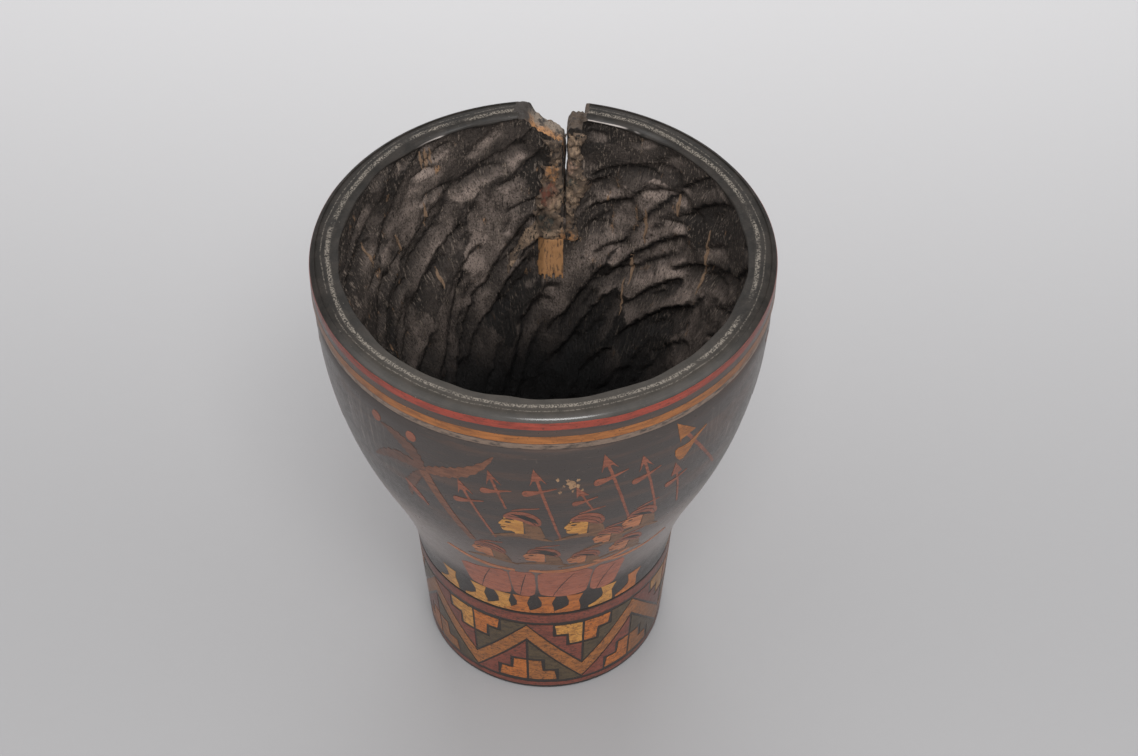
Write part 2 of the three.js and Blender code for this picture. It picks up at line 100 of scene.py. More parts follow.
def stroke(path: Outline, widths: Sequence[float]) -> Outline:
    """The outline of a brush stroke.

    Args:
        path: the points along its middle.
        widths: how wide it is at each of them.

    Returns:
        The stroke's outline, up one side and down the other.
    """
    left = []
    right = []
    for number, ((x, y), width) in enumerate(zip(path, widths)):
        x0, y0 = path[max(number - 1, 0)]
        x1, y1 = path[min(number + 1, len(path) - 1)]
        reach = width / 2 / math.hypot(x1 - x0, y1 - y0)
        left.append((x - reach * (y1 - y0), y + reach * (x1 - x0)))
        right.append((x + reach * (y1 - y0), y - reach * (x1 - x0)))
    return right + left[::-1]


def curve(path: Outline, steps: int) -> Outline:
    """Evenly numbered points on the smooth curve that a path's points pull along."""
    shares = np.linspace(0, 1, steps)
    degree = len(path) - 1
    weights = [math.comb(degree, k) * shares**k * (1 - shares) ** (degree - k) for k in range(degree + 1)]
    across = sum(weight * x for weight, (x, _) in zip(weights, path))
    up = sum(weight * y for weight, (_, y) in zip(weights, path))
    return list(zip(across.tolist(), up.tolist()))


def face_outwards(shape: bmesh.types.BMesh) -> None:
    """Turns the faces of one closed body outwards."""
    bmesh.ops.recalc_face_normals(shape, faces=shape.faces[:])
    if shape.calc_volume(signed=True) < 0:
        bmesh.ops.reverse_faces(shape, faces=shape.faces[:])


def lathe(rows: Outline, steps: int, closed: bool = False) -> bmesh.types.BMesh:
    """Turns a section a full turn round the cup's axis.

    Args:
        rows: the section's radii and heights.
        steps: how many slices the turn has.
        closed: whether the last point joins the first.

    Returns:
        The turned shape, its doubles merged.
    """
    shape = bmesh.new()
    verts = [shape.verts.new((0.0, -radius, height)) for radius, height in rows]
    ends = verts[1:] + verts[:1] if closed else verts[1:]
    edges = [shape.edges.new(pair) for pair in zip(verts, ends)]
    bmesh.ops.spin(
        shape,
        geom=verts + edges,
        cent=(0, 0, 0),
        axis=(0, 0, 1),
        angle=math.tau,
        steps=steps,
        use_merge=True,
    )
    bmesh.ops.remove_doubles(shape, verts=shape.verts[:], dist=MM)
    return shape


def measured(mesh: bpy.types.Mesh) -> tuple[np.ndarray, np.ndarray, np.ndarray]:
    """A mesh's points in millimetres, one to a row, with their angles and radii round the cup's axis."""
    places = np.empty(3 * len(mesh.vertices))
    mesh.vertices.foreach_get("co", places)
    places = places.reshape(-1, 3) / MM
    angle = np.degrees(np.arctan2(places[:, 0], -places[:, 1]))
    return places, angle, np.hypot(places[:, 0], places[:, 1])


def mesh_of(name: str, shape: bmesh.types.BMesh) -> bpy.types.Mesh:
    """A mesh with a shape's faces, after which the shape is freed."""
    mesh = bpy.data.meshes.new(name)
    shape.to_mesh(mesh)
    shape.free()
    return mesh


def linked(name: str, data: bpy.types.ID) -> bpy.types.Object:
    """An object with its data, linked to the scene."""
    made = bpy.data.objects.new(name, data)
    bpy.context.scene.collection.objects.link(made)
    return made


@dataclass(frozen=True)
class Section:
    """The cup's turned section: its outer wall, collar, lip and bore."""

    height: float
    rim_radius: float
    collar_height: float = 15.5
    ledge_depth: float = 0.7
    bevel: float = 2.6
    flare_radius: float = 68.0
    flare_height: float = 105.0
    flare_slope: float = 0.42
    waist_radius: float = 51.8
    waist_height: float = 53.0
    waist_slope: float = 0.1
    foot_radius: float = 48.4
    foot_chamfer: float = 0.8
    lip_width: float = 11.0
    lip_rounding: float = 2.6
    lip_edge: float = 0.8
    lip_depth: float = 0.7
    bore_wall: float = 9.5
    floor_thickness: float = 42.0
    floor_rounding: float = 12.0

    @classmethod
    def from_frame(cls) -> "Section":
        """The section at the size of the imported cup."""
        _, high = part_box("cup_body")
        return cls(height=high[2] / MM, rim_radius=high[0] / MM)

    @property
    def ledge(self) -> float:
        """Height of the ledge under the collar."""
        return self.height - self.collar_height

    @property
    def body_radius(self) -> float:
        """Radius of the wall where it meets the ledge."""
        return self.rim_radius - self.ledge_depth

    @property
    def lip_radius(self) -> float:
        """Radius of the mouth."""
        return self.rim_radius - self.lip_width

    @property
    def bore_foot(self) -> float:
        """Height at which the bore starts to round into its floor."""
        return self.floor_thickness + self.floor_rounding

    def wall(self, height: float | np.ndarray) -> np.ndarray:
        """The outer radius at a height.

        Args:
            height: one height or an array of them.

        Returns:
            The radius at each height.
        """
        height = np.asarray(height, dtype=float)
        cove_span = self.flare_height - self.waist_height
        bulge_span = self.ledge - self.flare_height
        foot_share = (height - self.foot_chamfer) / (self.waist_height - self.foot_chamfer)
        foot = self.foot_radius + (self.waist_radius - self.foot_radius) * foot_share
        cove = cubic(
            (height - self.waist_height) / cove_span,
            self.waist_radius,
            self.waist_radius + self.waist_slope * cove_span / 3,
            self.flare_radius - self.flare_slope * cove_span / 3,
            self.flare_radius,
        )
        bulge = cubic(
            (height - self.flare_height) / bulge_span,
            self.flare_radius,
            self.flare_radius + self.flare_slope * bulge_span / 3,
            self.body_radius,
            self.body_radius,
        )
        bevel = self.body_radius + self.ledge_depth * np.clip((height - self.ledge) / self.bevel, 0, 1)
        over = np.clip((height - self.height) / self.lip_rounding + 1, 0, 1)
        collar = bevel - self.lip_rounding * (1 - np.sqrt(1 - over**2))
        below = [height < self.waist_height, height < self.flare_height, height < self.ledge]
        return np.select(below, [foot, cove, bulge], default=collar)

    def bore(self, height: float | np.ndarray) -> np.ndarray:
        """The bore's radius at a height, floor rounding included."""
        height = np.asarray(height, dtype=float)
        straight = self.wall(np.clip(height, self.bore_foot, self.ledge - MM)) - self.bore_wall
        sunk = np.clip(self.bore_foot - height, 0, self.floor_rounding)
        return straight - self.floor_rounding + np.sqrt(self.floor_rounding**2 - sunk**2)


@dataclass(frozen=True)
class WornWall:
    """The outer wall as use left it: the section, a little out of round and inside the new size."""

    section: Section
    settle: float = 0.35
    sway: float = 0.2

    def radius(self, angle: float | np.ndarray, height: float | np.ndarray) -> np.ndarray:
        """The worn radius at an angle and a height."""
        turn = np.radians(angle)
        waves = np.sin(3 * turn + 0.8) + np.sin(5 * turn + height / 37) + np.sin(2 * turn - height / 23)
        return self.section.wall(height) - self.settle + self.sway * waves / 3

    def around(self, outline: Outline, angle: float, height: float = 0.0) -> Outline:
        """Wraps an outline drawn flat in millimetres.

        Args:
            outline: its points, across and up from the motif's own origin.
            angle: where that origin lies round the cup.
            height: how high it lies.

        Returns:
            The points as angles and heights on the cup.
        """
        wrapped = []
        for across, up in outline:
            level = height + up
            turn = math.degrees(math.asin(across / float(self.section.wall(level))))
            wrapped.append((angle + turn, level))
        return wrapped


class Shader:
    """A material's node tree, with short calls for the nodes that the finishes share."""

    WALL_RADIUS = 70.0

    def __init__(self, name: str) -> None:
        """Starts a material with one Principled shader and the object's own coordinates."""
        self.material = bpy.data.materials.new(name)
        self.material.use_nodes = True
        self.tree = self.material.node_tree
        self.surface = self.tree.nodes["Principled BSDF"]
        self.place = self.node("ShaderNodeTexCoord").outputs["Object"]

    def node(self, kind: str, **values: object) -> bpy.types.Node:
        """Adds a node and sets its properties."""
        made = self.tree.nodes.new(kind)
        for name, value in values.items():
            setattr(made, name, value)
        return made

    def feed(self, socket: bpy.types.NodeSocket, source: object) -> None:
        """Links an output to a socket, or sets the socket's own value."""
        if isinstance(source, bpy.types.NodeSocket):
            self.tree.links.new(source, socket)
        else:
            socket.default_value = source

    def stretched(self, stretch: Sequence[float]) -> bpy.types.NodeSocket:
        """The object's coordinates, scaled along each axis."""
        mapping = self.node("ShaderNodeMapping")
        self.feed(mapping.inputs["Vector"], self.place)
        mapping.inputs["Scale"].default_value = stretch
        return mapping.outputs[0]

    def noise(self, place: bpy.types.NodeSocket, scale: float, detail: float) -> bpy.types.Node:
        """A noise texture at a place."""
        texture = self.node("ShaderNodeTexNoise")
        self.feed(texture.inputs["Vector"], place)
        texture.inputs["Scale"].default_value = scale
        texture.inputs["Detail"].default_value = detail
        texture.inputs["Roughness"].default_value = 0.62
        return texture

    def grain(
        self,
        size: float,
        detail: float = 4.0,
        stretch: Sequence[float] = (1.0, 1.0, 1.0),
        distortion: float = 0.0,
    ) -> bpy.types.NodeSocket:
        """Noise whose blotches are about as large as a size in millimetres."""
        texture = self.noise(self.stretched(stretch), 1 / (size * MM), detail)
        texture.inputs["Distortion"].default_value = distortion
        return texture.outputs["Fac"]

    def between(self, source: bpy.types.NodeSocket, low: float, high: float) -> bpy.types.NodeSocket:
        """A smooth step that is 0 up to low and 1 from high, or the other way round."""
        remap = self.node("ShaderNodeMapRange", interpolation_type="SMOOTHSTEP")
        falling = high < low
        self.feed(remap.inputs["Value"], source)
        remap.inputs["From Min"].default_value = min(low, high)
        remap.inputs["From Max"].default_value = max(low, high)
        remap.inputs["To Min"].default_value = 1.0 if falling else 0.0
        remap.inputs["To Max"].default_value = 0.0 if falling else 1.0
        return remap.outputs["Result"]

    def spread(self, source: bpy.types.NodeSocket, low: float, high: float) -> bpy.types.NodeSocket:
        """A source from 0 to 1, spread over another range."""
        remap = self.node("ShaderNodeMapRange")
        self.feed(remap.inputs["Value"], source)
        remap.inputs["To Min"].default_value = low
        remap.inputs["To Max"].default_value = high
        return remap.outputs["Result"]

    def maths(self, operation: str, first: object, second: object = 0.0) -> bpy.types.NodeSocket:
        """One sum on one or two values."""
        sum_node = self.node("ShaderNodeMath", operation=operation)
        self.feed(sum_node.inputs[0], first)
        self.feed(sum_node.inputs[1], second)
        return sum_node.outputs[0]

    def product(self, *factors: object) -> bpy.types.NodeSocket:
        """Several values, multiplied together."""
        total = factors[0]
        for factor in factors[1:]:
            total = self.maths("MULTIPLY", total, factor)
        return total

    def gap(self, place: bpy.types.NodeSocket, middle: float) -> bpy.types.NodeSocket:
        """How far a place lies from a middle, on either side of it."""
        return self.maths("ABSOLUTE", self.maths("SUBTRACT", place, middle))

    def shake(self, size: float, detail: float, reach: float) -> bpy.types.NodeSocket:
        """A ragged sway to both sides of zero."""
        return self.product(self.maths("SUBTRACT", self.grain(size, detail), 0.5), reach)

    def mix(self, share: object, first: object, second: object) -> bpy.types.NodeSocket:
        """Two colours mixed by a share."""
        mixer = self.node("ShaderNodeMix", data_type="RGBA")
        self.feed(mixer.inputs[0], share)
        self.feed(mixer.inputs[6], (*first, 1.0) if isinstance(first, tuple) else first)
        self.feed(mixer.inputs[7], (*second, 1.0) if isinstance(second, tuple) else second)
        return mixer.outputs[2]

    def attribute(self, name: str) -> bpy.types.NodeSocket:
        """A number kept on the mesh's points."""
        return self.node("ShaderNodeAttribute", attribute_name=name).outputs["Fac"]

    def along(self, axis: int) -> bpy.types.NodeSocket:
        """The place along one axis, in millimetres."""
        parts = self.node("ShaderNodeSeparateXYZ")
        self.feed(parts.inputs[0], self.place)
        return self.maths("DIVIDE", parts.outputs[axis], MM)

    def radius(self) -> bpy.types.NodeSocket:
        """Distance from the cup's axis, in millimetres."""
        squares = [self.maths("POWER", self.maths("ABSOLUTE", self.along(axis)), 2.0) for axis in (0, 1)]
        return self.maths("SQRT", self.maths("ADD", *squares))

    def gloss(self, specular: float) -> None:
        """Sets how much light the bare surface throws back."""
        self.surface.inputs["Specular IOR Level"].default_value = specular

    def polish(self, weight: object, roughness: float) -> None:
        """Puts a clear, rubbed coat over the surface."""
        self.feed(self.surface.inputs["Coat Weight"], weight)
        self.surface.inputs["Coat Roughness"].default_value = roughness

    def turned_grain(self, across: float, along: float, detail: float = 4.0) -> bpy.types.NodeSocket:
        """Noise drawn out round the cup's axis.

        Args:
            across: size of its streaks out from the axis and up, in millimetres.
            along: their length round the axis, in degrees.
            detail: how fine it goes.

        Returns:
            The noise, about 0.5 in the middle.
        """
        turn = self.maths("ARCTAN2", self.along(0), self.maths("MULTIPLY", self.along(1), -1.0))
        joined = self.node("ShaderNodeCombineXYZ")
        self.feed(joined.inputs[0], self.maths("DIVIDE", self.radius(), across))
        self.feed(joined.inputs[1], self.maths("DIVIDE", turn, math.radians(along)))
        self.feed(joined.inputs[2], self.maths("DIVIDE", self.along(2), across))
        return self.noise(joined.outputs[0], 1.0, detail).outputs["Fac"]

    def wall_grain(
        self, across: float, up: float, detail: float = 5.0, seed: float = 0.0
    ) -> bpy.types.NodeSocket:
        """Noise that lies on the wall like paint, whatever the relief under it.

        Args:
            across: size of its blotches round the cup, in millimetres.
            up: their height.
            detail: how fine it goes.
            seed: shifts the pattern, to tell two of them apart.

        Returns:
            The noise, about 0.5 in the middle.
        """
        reach = self.maths("DIVIDE", self.WALL_RADIUS / across, self.radius())
        joined = self.node("ShaderNodeCombineXYZ")
        self.feed(joined.inputs[0], self.maths("ADD", self.maths("MULTIPLY", self.along(0), reach), seed))
        self.feed(joined.inputs[1], self.maths("MULTIPLY", self.along(1), reach))
        self.feed(joined.inputs[2], self.maths("DIVIDE", self.along(2), up))
        return self.noise(joined.outputs[0], 1.0, detail).outputs["Fac"]

    def finish(
        self,
        colour: bpy.types.NodeSocket,
        roughness: bpy.types.NodeSocket,
        relief: bpy.types.NodeSocket,
        depth: float,
    ) -> bpy.types.Material:
        """Links colour, roughness and relief to the shader.

        Args:
            colour: base colour.
            roughness: roughness from 0 to 1.
            relief: height of the fine surface, from 0 to 1.
            depth: how deep that relief is, in millimetres.

        Returns:
            The finished material.
        """
        self.feed(self.surface.inputs["Base Color"], colour)
        self.feed(self.surface.inputs["Roughness"], roughness)
        bump = self.node("ShaderNodeBump")
        bump.inputs["Strength"].default_value = 1.0
        bump.inputs["Distance"].default_value = depth * MM
        self.feed(bump.inputs["Height"], relief)
        self.feed(self.surface.inputs["Normal"], bump.outputs["Normal"])
        return self.material


@dataclass(frozen=True)
class Lacquer:
    """Near-black lacquered wood, handled until it shines, with scuffs and hairline scratches, a painted sheen
    on the cove's left and right sides, and darker near the waist and foot.
    """

    black: Colour = (0.056, 0.046, 0.042)
    brown: Colour = (0.098, 0.060, 0.046)
    painted_sheen: Colour = (0.255, 0.172, 0.142)
    scuff: Colour = (0.24, 0.18, 0.145)
    low_black: Colour = (0.017, 0.013, 0.011)
    handled: tuple[float, float] = (132.0, 96.0)
    painted_sheen_zone: tuple[float, float] = (130.0, 106.0)
    sides: tuple[float, float] = (34.0, 52.0)
    low_blackening: tuple[float, float] = (80.0, 66.0)
    cove: tuple[float, float] = (58.0, 66.0)
    groove: float = 53.0
    flanks: tuple[float, float] = (44.0, 70.0)
    flank_top: tuple[float, float] = (181.0, 166.0)
    worn: Colour = (0.42, 0.345, 0.305)

    def material(self) -> bpy.types.Material:
        """The lacquer's material."""
        shader = Shader("black_lacquer")
        height = shader.along(2)
        blotches = shader.product(shader.between(shader.turned_grain(5.0, 30.0, 7.0), 0.46, 0.68), 0.7)
        held = shader.product(shader.between(height, *self.handled), 0.55)
        colour = shader.mix(shader.maths("MAXIMUM", blotches, held), self.black, self.brown)
        streaks = shader.between(shader.turned_grain(0.7, 20.0, 6.0), 0.30, 0.54)
        aside = shader.maths("ABSOLUTE", shader.along(0))
        beside = shader.between(aside, *self.sides)
        # Painted sheen: pale streaks on the cove's left and right sides, standing in for the lacquer's
        # reflection there.
        painted_sheen_zone = shader.product(streaks, shader.between(height, *self.painted_sheen_zone), shader.spread(beside, 0.15, 0.55))
        colour = shader.mix(painted_sheen_zone, colour, self.painted_sheen)
        scratch = shader.between(shader.grain(7.0, 4.0, (1.0, 1.0, 18.0)), 0.60, 0.72)
        colour = shader.mix(shader.product(scratch, 0.22), colour, self.scuff)
        rubbed = shader.between(shader.grain(4.0, 8.0, distortion=0.6), 0.64, 0.78)
        colour = shader.mix(shader.product(rubbed, 0.5), colour, self.scuff)
        long = shader.between(shader.wall_grain(0.5, 30.0, 7.0, 41.0), 0.50, 0.72)
        flank = shader.product(shader.between(aside, *self.flanks), shader.between(height, *self.flank_top))
        patchy = shader.between(shader.grain(22.0, 5.0), 0.44, 0.62)
        colour = shader.mix(shader.product(long, flank, patchy, 0.55), colour, self.worn)
        # Darker near the waist and foot, and less so on the cove's sides.
        cove = shader.product(beside, shader.between(height, *self.cove))
        low_blackening = shader.product(shader.between(height, *self.low_blackening), shader.spread(cove, 0.92, 0.25))
        colour = shader.mix(low_blackening, colour, self.low_black)
        grime = shader.between(shader.gap(height, self.groove), 0.7, 0.3)
        roughness = shader.spread(shader.grain(3.0, 5.0), 0.16, 0.50)
        roughness = shader.maths("MAXIMUM", roughness, grime)
        shine = shader.maths("SUBTRACT", shader.between(height, *self.handled), low_blackening)
        shader.polish(shader.spread(shine, 0.1, 0.62), 0.32)
        shader.gloss(0.4)
        return shader.finish(colour, roughness, shader.grain(1.4, 6.0, (1.0, 1.0, 2.5)), 0.09)


@dataclass(frozen=True)
class ScuffedEdge:
    """The collar's lower bevel, rubbed through to grey-brown wood."""

    dark: Colour = (0.05, 0.04, 0.034)
    rubbed: Colour = (0.24, 0.168, 0.125)

    def material(self) -> bpy.types.Material:
        """The bevel's material."""
        shader = Shader("scuffed_bevel")
        worn = shader.between(shader.grain(4.0, 7.0, (1.0, 1.0, 2.0)), 0.30, 0.58)
        colour = shader.mix(worn, self.dark, self.rubbed)
        roughness = shader.spread(shader.grain(2.0, 4.0), 0.42, 0.7)
        return shader.finish(colour, roughness, shader.grain(1.0, 5.0), 0.15)


@dataclass(frozen=True)
class LipWood:
    """The bare grey wood of the lip, dulled by use, with pale worn lines along its crest, a painted highlight
    line on its inner edge at the back and a painted highlight over its front.
    """

    dark: Colour = (0.015, 0.013, 0.011)
    grey: Colour = (0.027, 0.0225, 0.019)
    pale: Colour = (0.28, 0.245, 0.205)
    # Colour of the painted highlight line on the inner edge at the back.
    gloss: Colour = (0.50, 0.45, 0.42)
    edge: tuple[float, float] = (76.0, 75.4)
    highlight_line_height: float = 199.0
    highlight_line_width: tuple[float, float] = (0.30, 0.1)
    back_highlight_span: tuple[float, float] = (54.0, 64.0)
    outer: tuple[float, float] = (80.6, 82.0)
    front_highlight_span: tuple[float, float] = (-30.0, -64.0)
    rings: tuple[tuple[float, float, float], ...] = (
        (77.6, 1.1, 0.65),
        (79.9, 0.3, 0.35),
    )
    patch_shift: float = 60.0

    def ring(
        self, shader: Shader, place: bpy.types.NodeSocket, radius: float, width: float
    ) -> bpy.types.NodeSocket:
        """A worn line round the lip, broken into specks and gaps."""
        line = shader.between(shader.gap(place, radius), width, 0.4 * width)
        specks = shader.between(shader.grain(0.6, 5.0), 0.46, 0.54)
        patchy = shader.between(shader.grain(radius - self.patch_shift, 4.0), 0.34, 0.48)
        return shader.product(line, specks, patchy)

    def material(self) -> bpy.types.Material:
        """The lip's material."""
        shader = Shader("lip_wood")
        radius = shader.radius()
        colour = shader.mix(shader.between(shader.grain(6.0, 7.0), 0.38, 0.62), self.dark, self.grey)
        scratches = shader.between(shader.turned_grain(0.35, 2.5, 6.0), 0.58, 0.72)
        colour = shader.mix(shader.product(scratches, 0.07), colour, self.pale)
        place = shader.maths("ADD", radius, shader.shake(30.0, 1.0, 3.0))
        for where, width, strength in self.rings:
            worn = shader.product(self.ring(shader, place, where, width), strength)
            colour = shader.mix(worn, colour, self.pale)
        nicks = shader.between(shader.grain(1.2, 6.0), 0.66, 0.74)
        colour = shader.mix(shader.product(nicks, 0.5), colour, self.pale)
        # Painted highlight: a broken pale line along the inner edge at the back of the lip.
        behind = shader.between(shader.along(1), *self.back_highlight_span)
        inside = shader.product(shader.between(radius, *self.edge), behind)
        line = shader.between(shader.gap(shader.along(2), self.highlight_line_height), *self.highlight_line_width)
        broken = shader.between(shader.grain(26.0, 3.0), 0.46, 0.56)
        colour = shader.mix(shader.product(inside, line, broken), colour, self.gloss)
        roughness = shader.spread(shader.grain(4.0, 4.0), 0.45, 0.7)
        shader.gloss(0.14)
        front = shader.between(shader.along(1), *self.front_highlight_span)
        # Painted highlight: the front of the lip lightened a little towards pale.
        colour = shader.mix(shader.product(front, 0.09), colour, self.pale)
        outer = shader.product(shader.between(radius, *self.outer), front)
        shader.polish(shader.maths("MAXIMUM", shader.product(inside, 0.3), outer), 0.2)
        return shader.finish(colour, roughness, shader.grain(1.2, 5.0), 0.14)


@dataclass(frozen=True)
class GougedWood:
    """The bore: smoke-dark wood in facets of several tones, with torn fibres and pale splinters, and with
    painted light and shade: lighter at the back and on facets that face upwards, painted shade at the front,
    on the left wall and where the gouges cut deeper, and painted shade with grime along their broken edges.
    """

    deep: Colour = (0.004, 0.0035, 0.0035)
    smoke: Colour = (0.026, 0.021, 0.018)
    scoop: Colour = (0.40, 0.315, 0.268)
    ridge: Colour = (0.42, 0.335, 0.27)
    splinter: Colour = (0.44, 0.25, 0.13)
    dark_below: float = 80.0
    light_above: float = 150.0
    shaded: tuple[float, float] = (4.0, 60.0)
    shaded_left_side: tuple[float, float] = (-40.0, -66.0)

    def material(self) -> bpy.types.Material:
        """The bore's material."""
        shader = Shader("gouged_wood")
        ridge = shader.attribute(CarvedBore.RIDGE)
        crease = shader.attribute(CarvedBore.CREASE)
        facet = shader.attribute(CarvedBore.FACET)
        lit_from_above = shader.attribute(CarvedBore.LIT_FROM_ABOVE)
        stain = shader.between(shader.wall_grain(15.0, 22.0, 4.0), 0.34, 0.62)
        lit = shader.between(shader.along(1), *self.shaded)
        left_wall_shade = shader.between(shader.along(0), *self.shaded_left_side)
        tone = shader.product(
            shader.between(facet, 0.05, 0.95),
            shader.spread(stain, 0.25, 1.0),
            # painted shade: darker where the gouges cut deeper
            shader.spread(shader.between(ridge, 0.15, 0.85), 0.2, 1.0),
            # painted light: lighter towards the back of the bore, darker at its front
            shader.spread(lit, 0.3, 1.3),
            # painted shade: the left wall of the bore darker
            shader.spread(left_wall_shade, 1.0, 0.62),
            # painted light: lighter where the facets face upwards
            shader.spread(shader.between(lit_from_above, 0.0, 0.5), 0.25, 1.9),
        )
        colour = shader.mix(tone, self.smoke, self.scoop)
        specks = shader.wall_grain(0.6, 2.0, 5.0, 3.0)
        smoke_and_front_shade = shader.between(shader.wall_grain(8.0, 14.0, 5.0, 29.0), 0.45, 0.58)
        # Painted shade: the smoke patches spread over the front of the bore.
        smoke_and_front_shade = shader.maths("MAXIMUM", smoke_and_front_shade, shader.spread(lit, 0.8, 0.0))
        colour = shader.mix(shader.product(smoke_and_front_shade, 0.5), colour, self.smoke)
        crumbs = shader.between(specks, 0.54, 0.63)
        colour = shader.mix(shader.product(crumbs, shader.spread(smoke_and_front_shade, 0.1, 0.55)), colour, self.ridge)
        fibres = shader.wall_grain(0.8, 7.0, 5.0, 7.0)
        torn = shader.between(shader.wall_grain(5.0, 9.0, 6.0, 11.0), 0.52, 0.61)
        pale = shader.between(fibres, 0.54, 0.68)
        colour = shader.mix(shader.product(torn, pale, 0.8), colour, self.ridge)
        colour = shader.mix(shader.between(fibres, 0.38, 0.31), colour, self.deep)
        slivers = shader.between(shader.wall_grain(4.0, 8.0, 7.0, 17.0), 0.62, 0.74)
        thin = shader.between(specks, 0.40, 0.56)
        colour = shader.mix(shader.product(slivers, thin), colour, self.splinter)
        dust = shader.between(shader.wall_grain(0.5, 0.9, 3.0, 31.0), 0.52, 0.34)
        colour = shader.mix(shader.product(dust, 0.75), colour, self.smoke)
        # Painted shade with grime: darker along the gouges' broken edges.
        crease_shade_and_grime = shader.product(shader.between(crease, 0.25, 0.9), 0.85)
        colour = shader.mix(crease_shade_and_grime, colour, self.deep)
        light = shader.between(shader.along(2), self.dark_below, self.light_above)
        colour = shader.mix(light, self.deep, colour)
        roughness = shader.spread(shader.grain(4.0, 4.0), 0.42, 0.75)
        grit = shader.wall_grain(0.8, 1.0, 4.0, 23.0)
        relief = shader.maths("ADD", grit, fibres)
        shader.gloss(0.35)
        return shader.finish(colour, roughness, relief, 1.0)


@dataclass(frozen=True)
class BrokenWood:
    """Wood laid bare by the break: grey fibres on the chip, orange at its inner edge, brown on the stub."""

    grey: Colour = (0.25, 0.20, 0.155)
    orange: Colour = (0.40, 0.20, 0.085)
    brown: Colour = (0.085, 0.060, 0.043)
    dark: Colour = (0.040, 0.032, 0.027)
    stub_right_of: tuple[float, float] = (5.5, 8.0)
    inner: tuple[float, float] = (80.5, 77.0)
    crown: tuple[float, float] = (193.0, 197.0)

    def material(self) -> bpy.types.Material:
        """The break's material."""
        shader = Shader("broken_wood")
        ragged = shader.shake(3.0, 5.0, 6.0)
        inner = shader.between(shader.maths("ADD", shader.radius(), ragged), *self.inner)
        colour = shader.mix(inner, self.grey, self.orange)
        crown = shader.between(shader.maths("ADD", shader.along(2), ragged), *self.crown)
        colour = shader.mix(crown, colour, self.dark)
        stub = shader.between(shader.along(0), *self.stub_right_of)
        colour = shader.mix(stub, colour, self.brown)
        colour = shader.mix(shader.between(shader.grain(4.0, 6.0), 0.52, 0.66), colour, self.dark)
        fibres = shader.grain(0.9, 6.0, (1.0, 1.0, 0.12))
        colour = shader.mix(shader.between(fibres, 0.48, 0.36), colour, self.dark)
        roughness = shader.spread(shader.grain(3.0, 3.0), 0.6, 0.9)
        return shader.finish(colour, roughness, fibres, 0.6)


@dataclass(frozen=True)
class Crust:
    """Old filler: a brown crust with crumbs and holes, and patches of red, orange and green colour."""

    brown: Colour = (0.125, 0.088, 0.063)
    tan: Colour = (0.34, 0.235, 0.155)
    dark: Colour = (0.020, 0.016, 0.014)
    orange: Colour = (0.40, 0.19, 0.075)
    red: Colour = (0.19, 0.066, 0.042)
    pink: Colour = (0.46, 0.28, 0.20)
    green: Colour = (0.034, 0.038, 0.032)
    ragged: float = 14.0

    def patches(self) -> tuple[tuple[float, float, float, Colour], ...]:
        """Where each patch of colour lies across and up the crack, its size and its colour."""
        return (
            (3.2, 182.7, 4.0, self.dark),
            (2.5, 171.5, 3.2, self.orange),
            (0.5, 160.3, 4.4, self.red),
            (4.8, 155.8, 4.6, self.tan),
            (-0.3, 146.0, 4.4, self.green),
            (-6.2, 137.5, 5.0, self.tan),
            (2.5, 139.5, 4.0, self.tan),
            (10.4, 185.2, 4.6, self.tan),
            (9.3, 173.5, 2.8, self.pink),
            (9.1, 166.6, 4.2, self.green),
            (10.8, 160.0, 4.2, self.tan),
            (9.3, 141.0, 4.0, self.orange),
        )

    def patch(
        self, shader: Shader, places: Sequence[bpy.types.NodeSocket], middle: Point, size: float
    ) -> bpy.types.NodeSocket:
        """How much of a ragged patch covers each place."""
        offs = [shader.maths("SUBTRACT", place, where) for place, where in zip(places, middle)]
        squares = [shader.maths("POWER", off, 2.0) for off in offs]
        off = shader.maths("SQRT", shader.maths("ADD", squares[0], shader.product(squares[1], 0.5)))
        edge = shader.maths("ADD", off, shader.shake(3.2, 7.0, self.ragged))
        return shader.between(edge, 1.1 * size, 0.5 * size)

    def material(self) -> bpy.types.Material:
        """The crust's material."""
        shader = Shader("filler_crust")
        places = [shader.along(axis) for axis in (0, 2)]
        colour = shader.mix(shader.between(shader.grain(2.6, 7.0), 0.54, 0.64), self.brown, self.tan)
        mottle = shader.spread(shader.between(shader.grain(1.5, 6.0, (1.0, 1.0, 0.5)), 0.42, 0.56), 0.15, 0.9)
        for across, height, size, stain in self.patches():
            cover = self.patch(shader, places, (across, height), size)
            colour = shader.mix(shader.product(cover, mottle), colour, stain)
        crumbs = shader.between(shader.grain(1.3, 5.0, (1.0, 1.0, 0.6)), 0.60, 0.66)
        colour = shader.mix(shader.product(crumbs, 0.55), colour, self.tan)
        holes = shader.grain(1.7, 6.0, (1.0, 1.0, 0.5))
        colour = shader.mix(shader.between(holes, 0.46, 0.37), colour, self.dark)
        roughness = shader.spread(shader.grain(2.0, 3.0), 0.7, 0.95)
        return shader.finish(colour, roughness, holes, 0.9)


@dataclass(frozen=True)
class BareSplinter:
    """A flake of bright bare wood where the surface tore away."""

    tan: Colour = (0.46, 0.235, 0.10)
    dark: Colour = (0.16, 0.09, 0.05)

    def material(self) -> bpy.types.Material:
        """The flake's material."""
        shader = Shader("bare_splinter")
        fibres = shader.grain(1.0, 6.0, (1.0, 1.0, 0.08))
        colour = shader.mix(shader.between(fibres, 0.5, 0.34), self.tan, self.dark)
        roughness = shader.spread(fibres, 0.6, 0.85)
        return shader.finish(colour, roughness, fibres, 0.4)


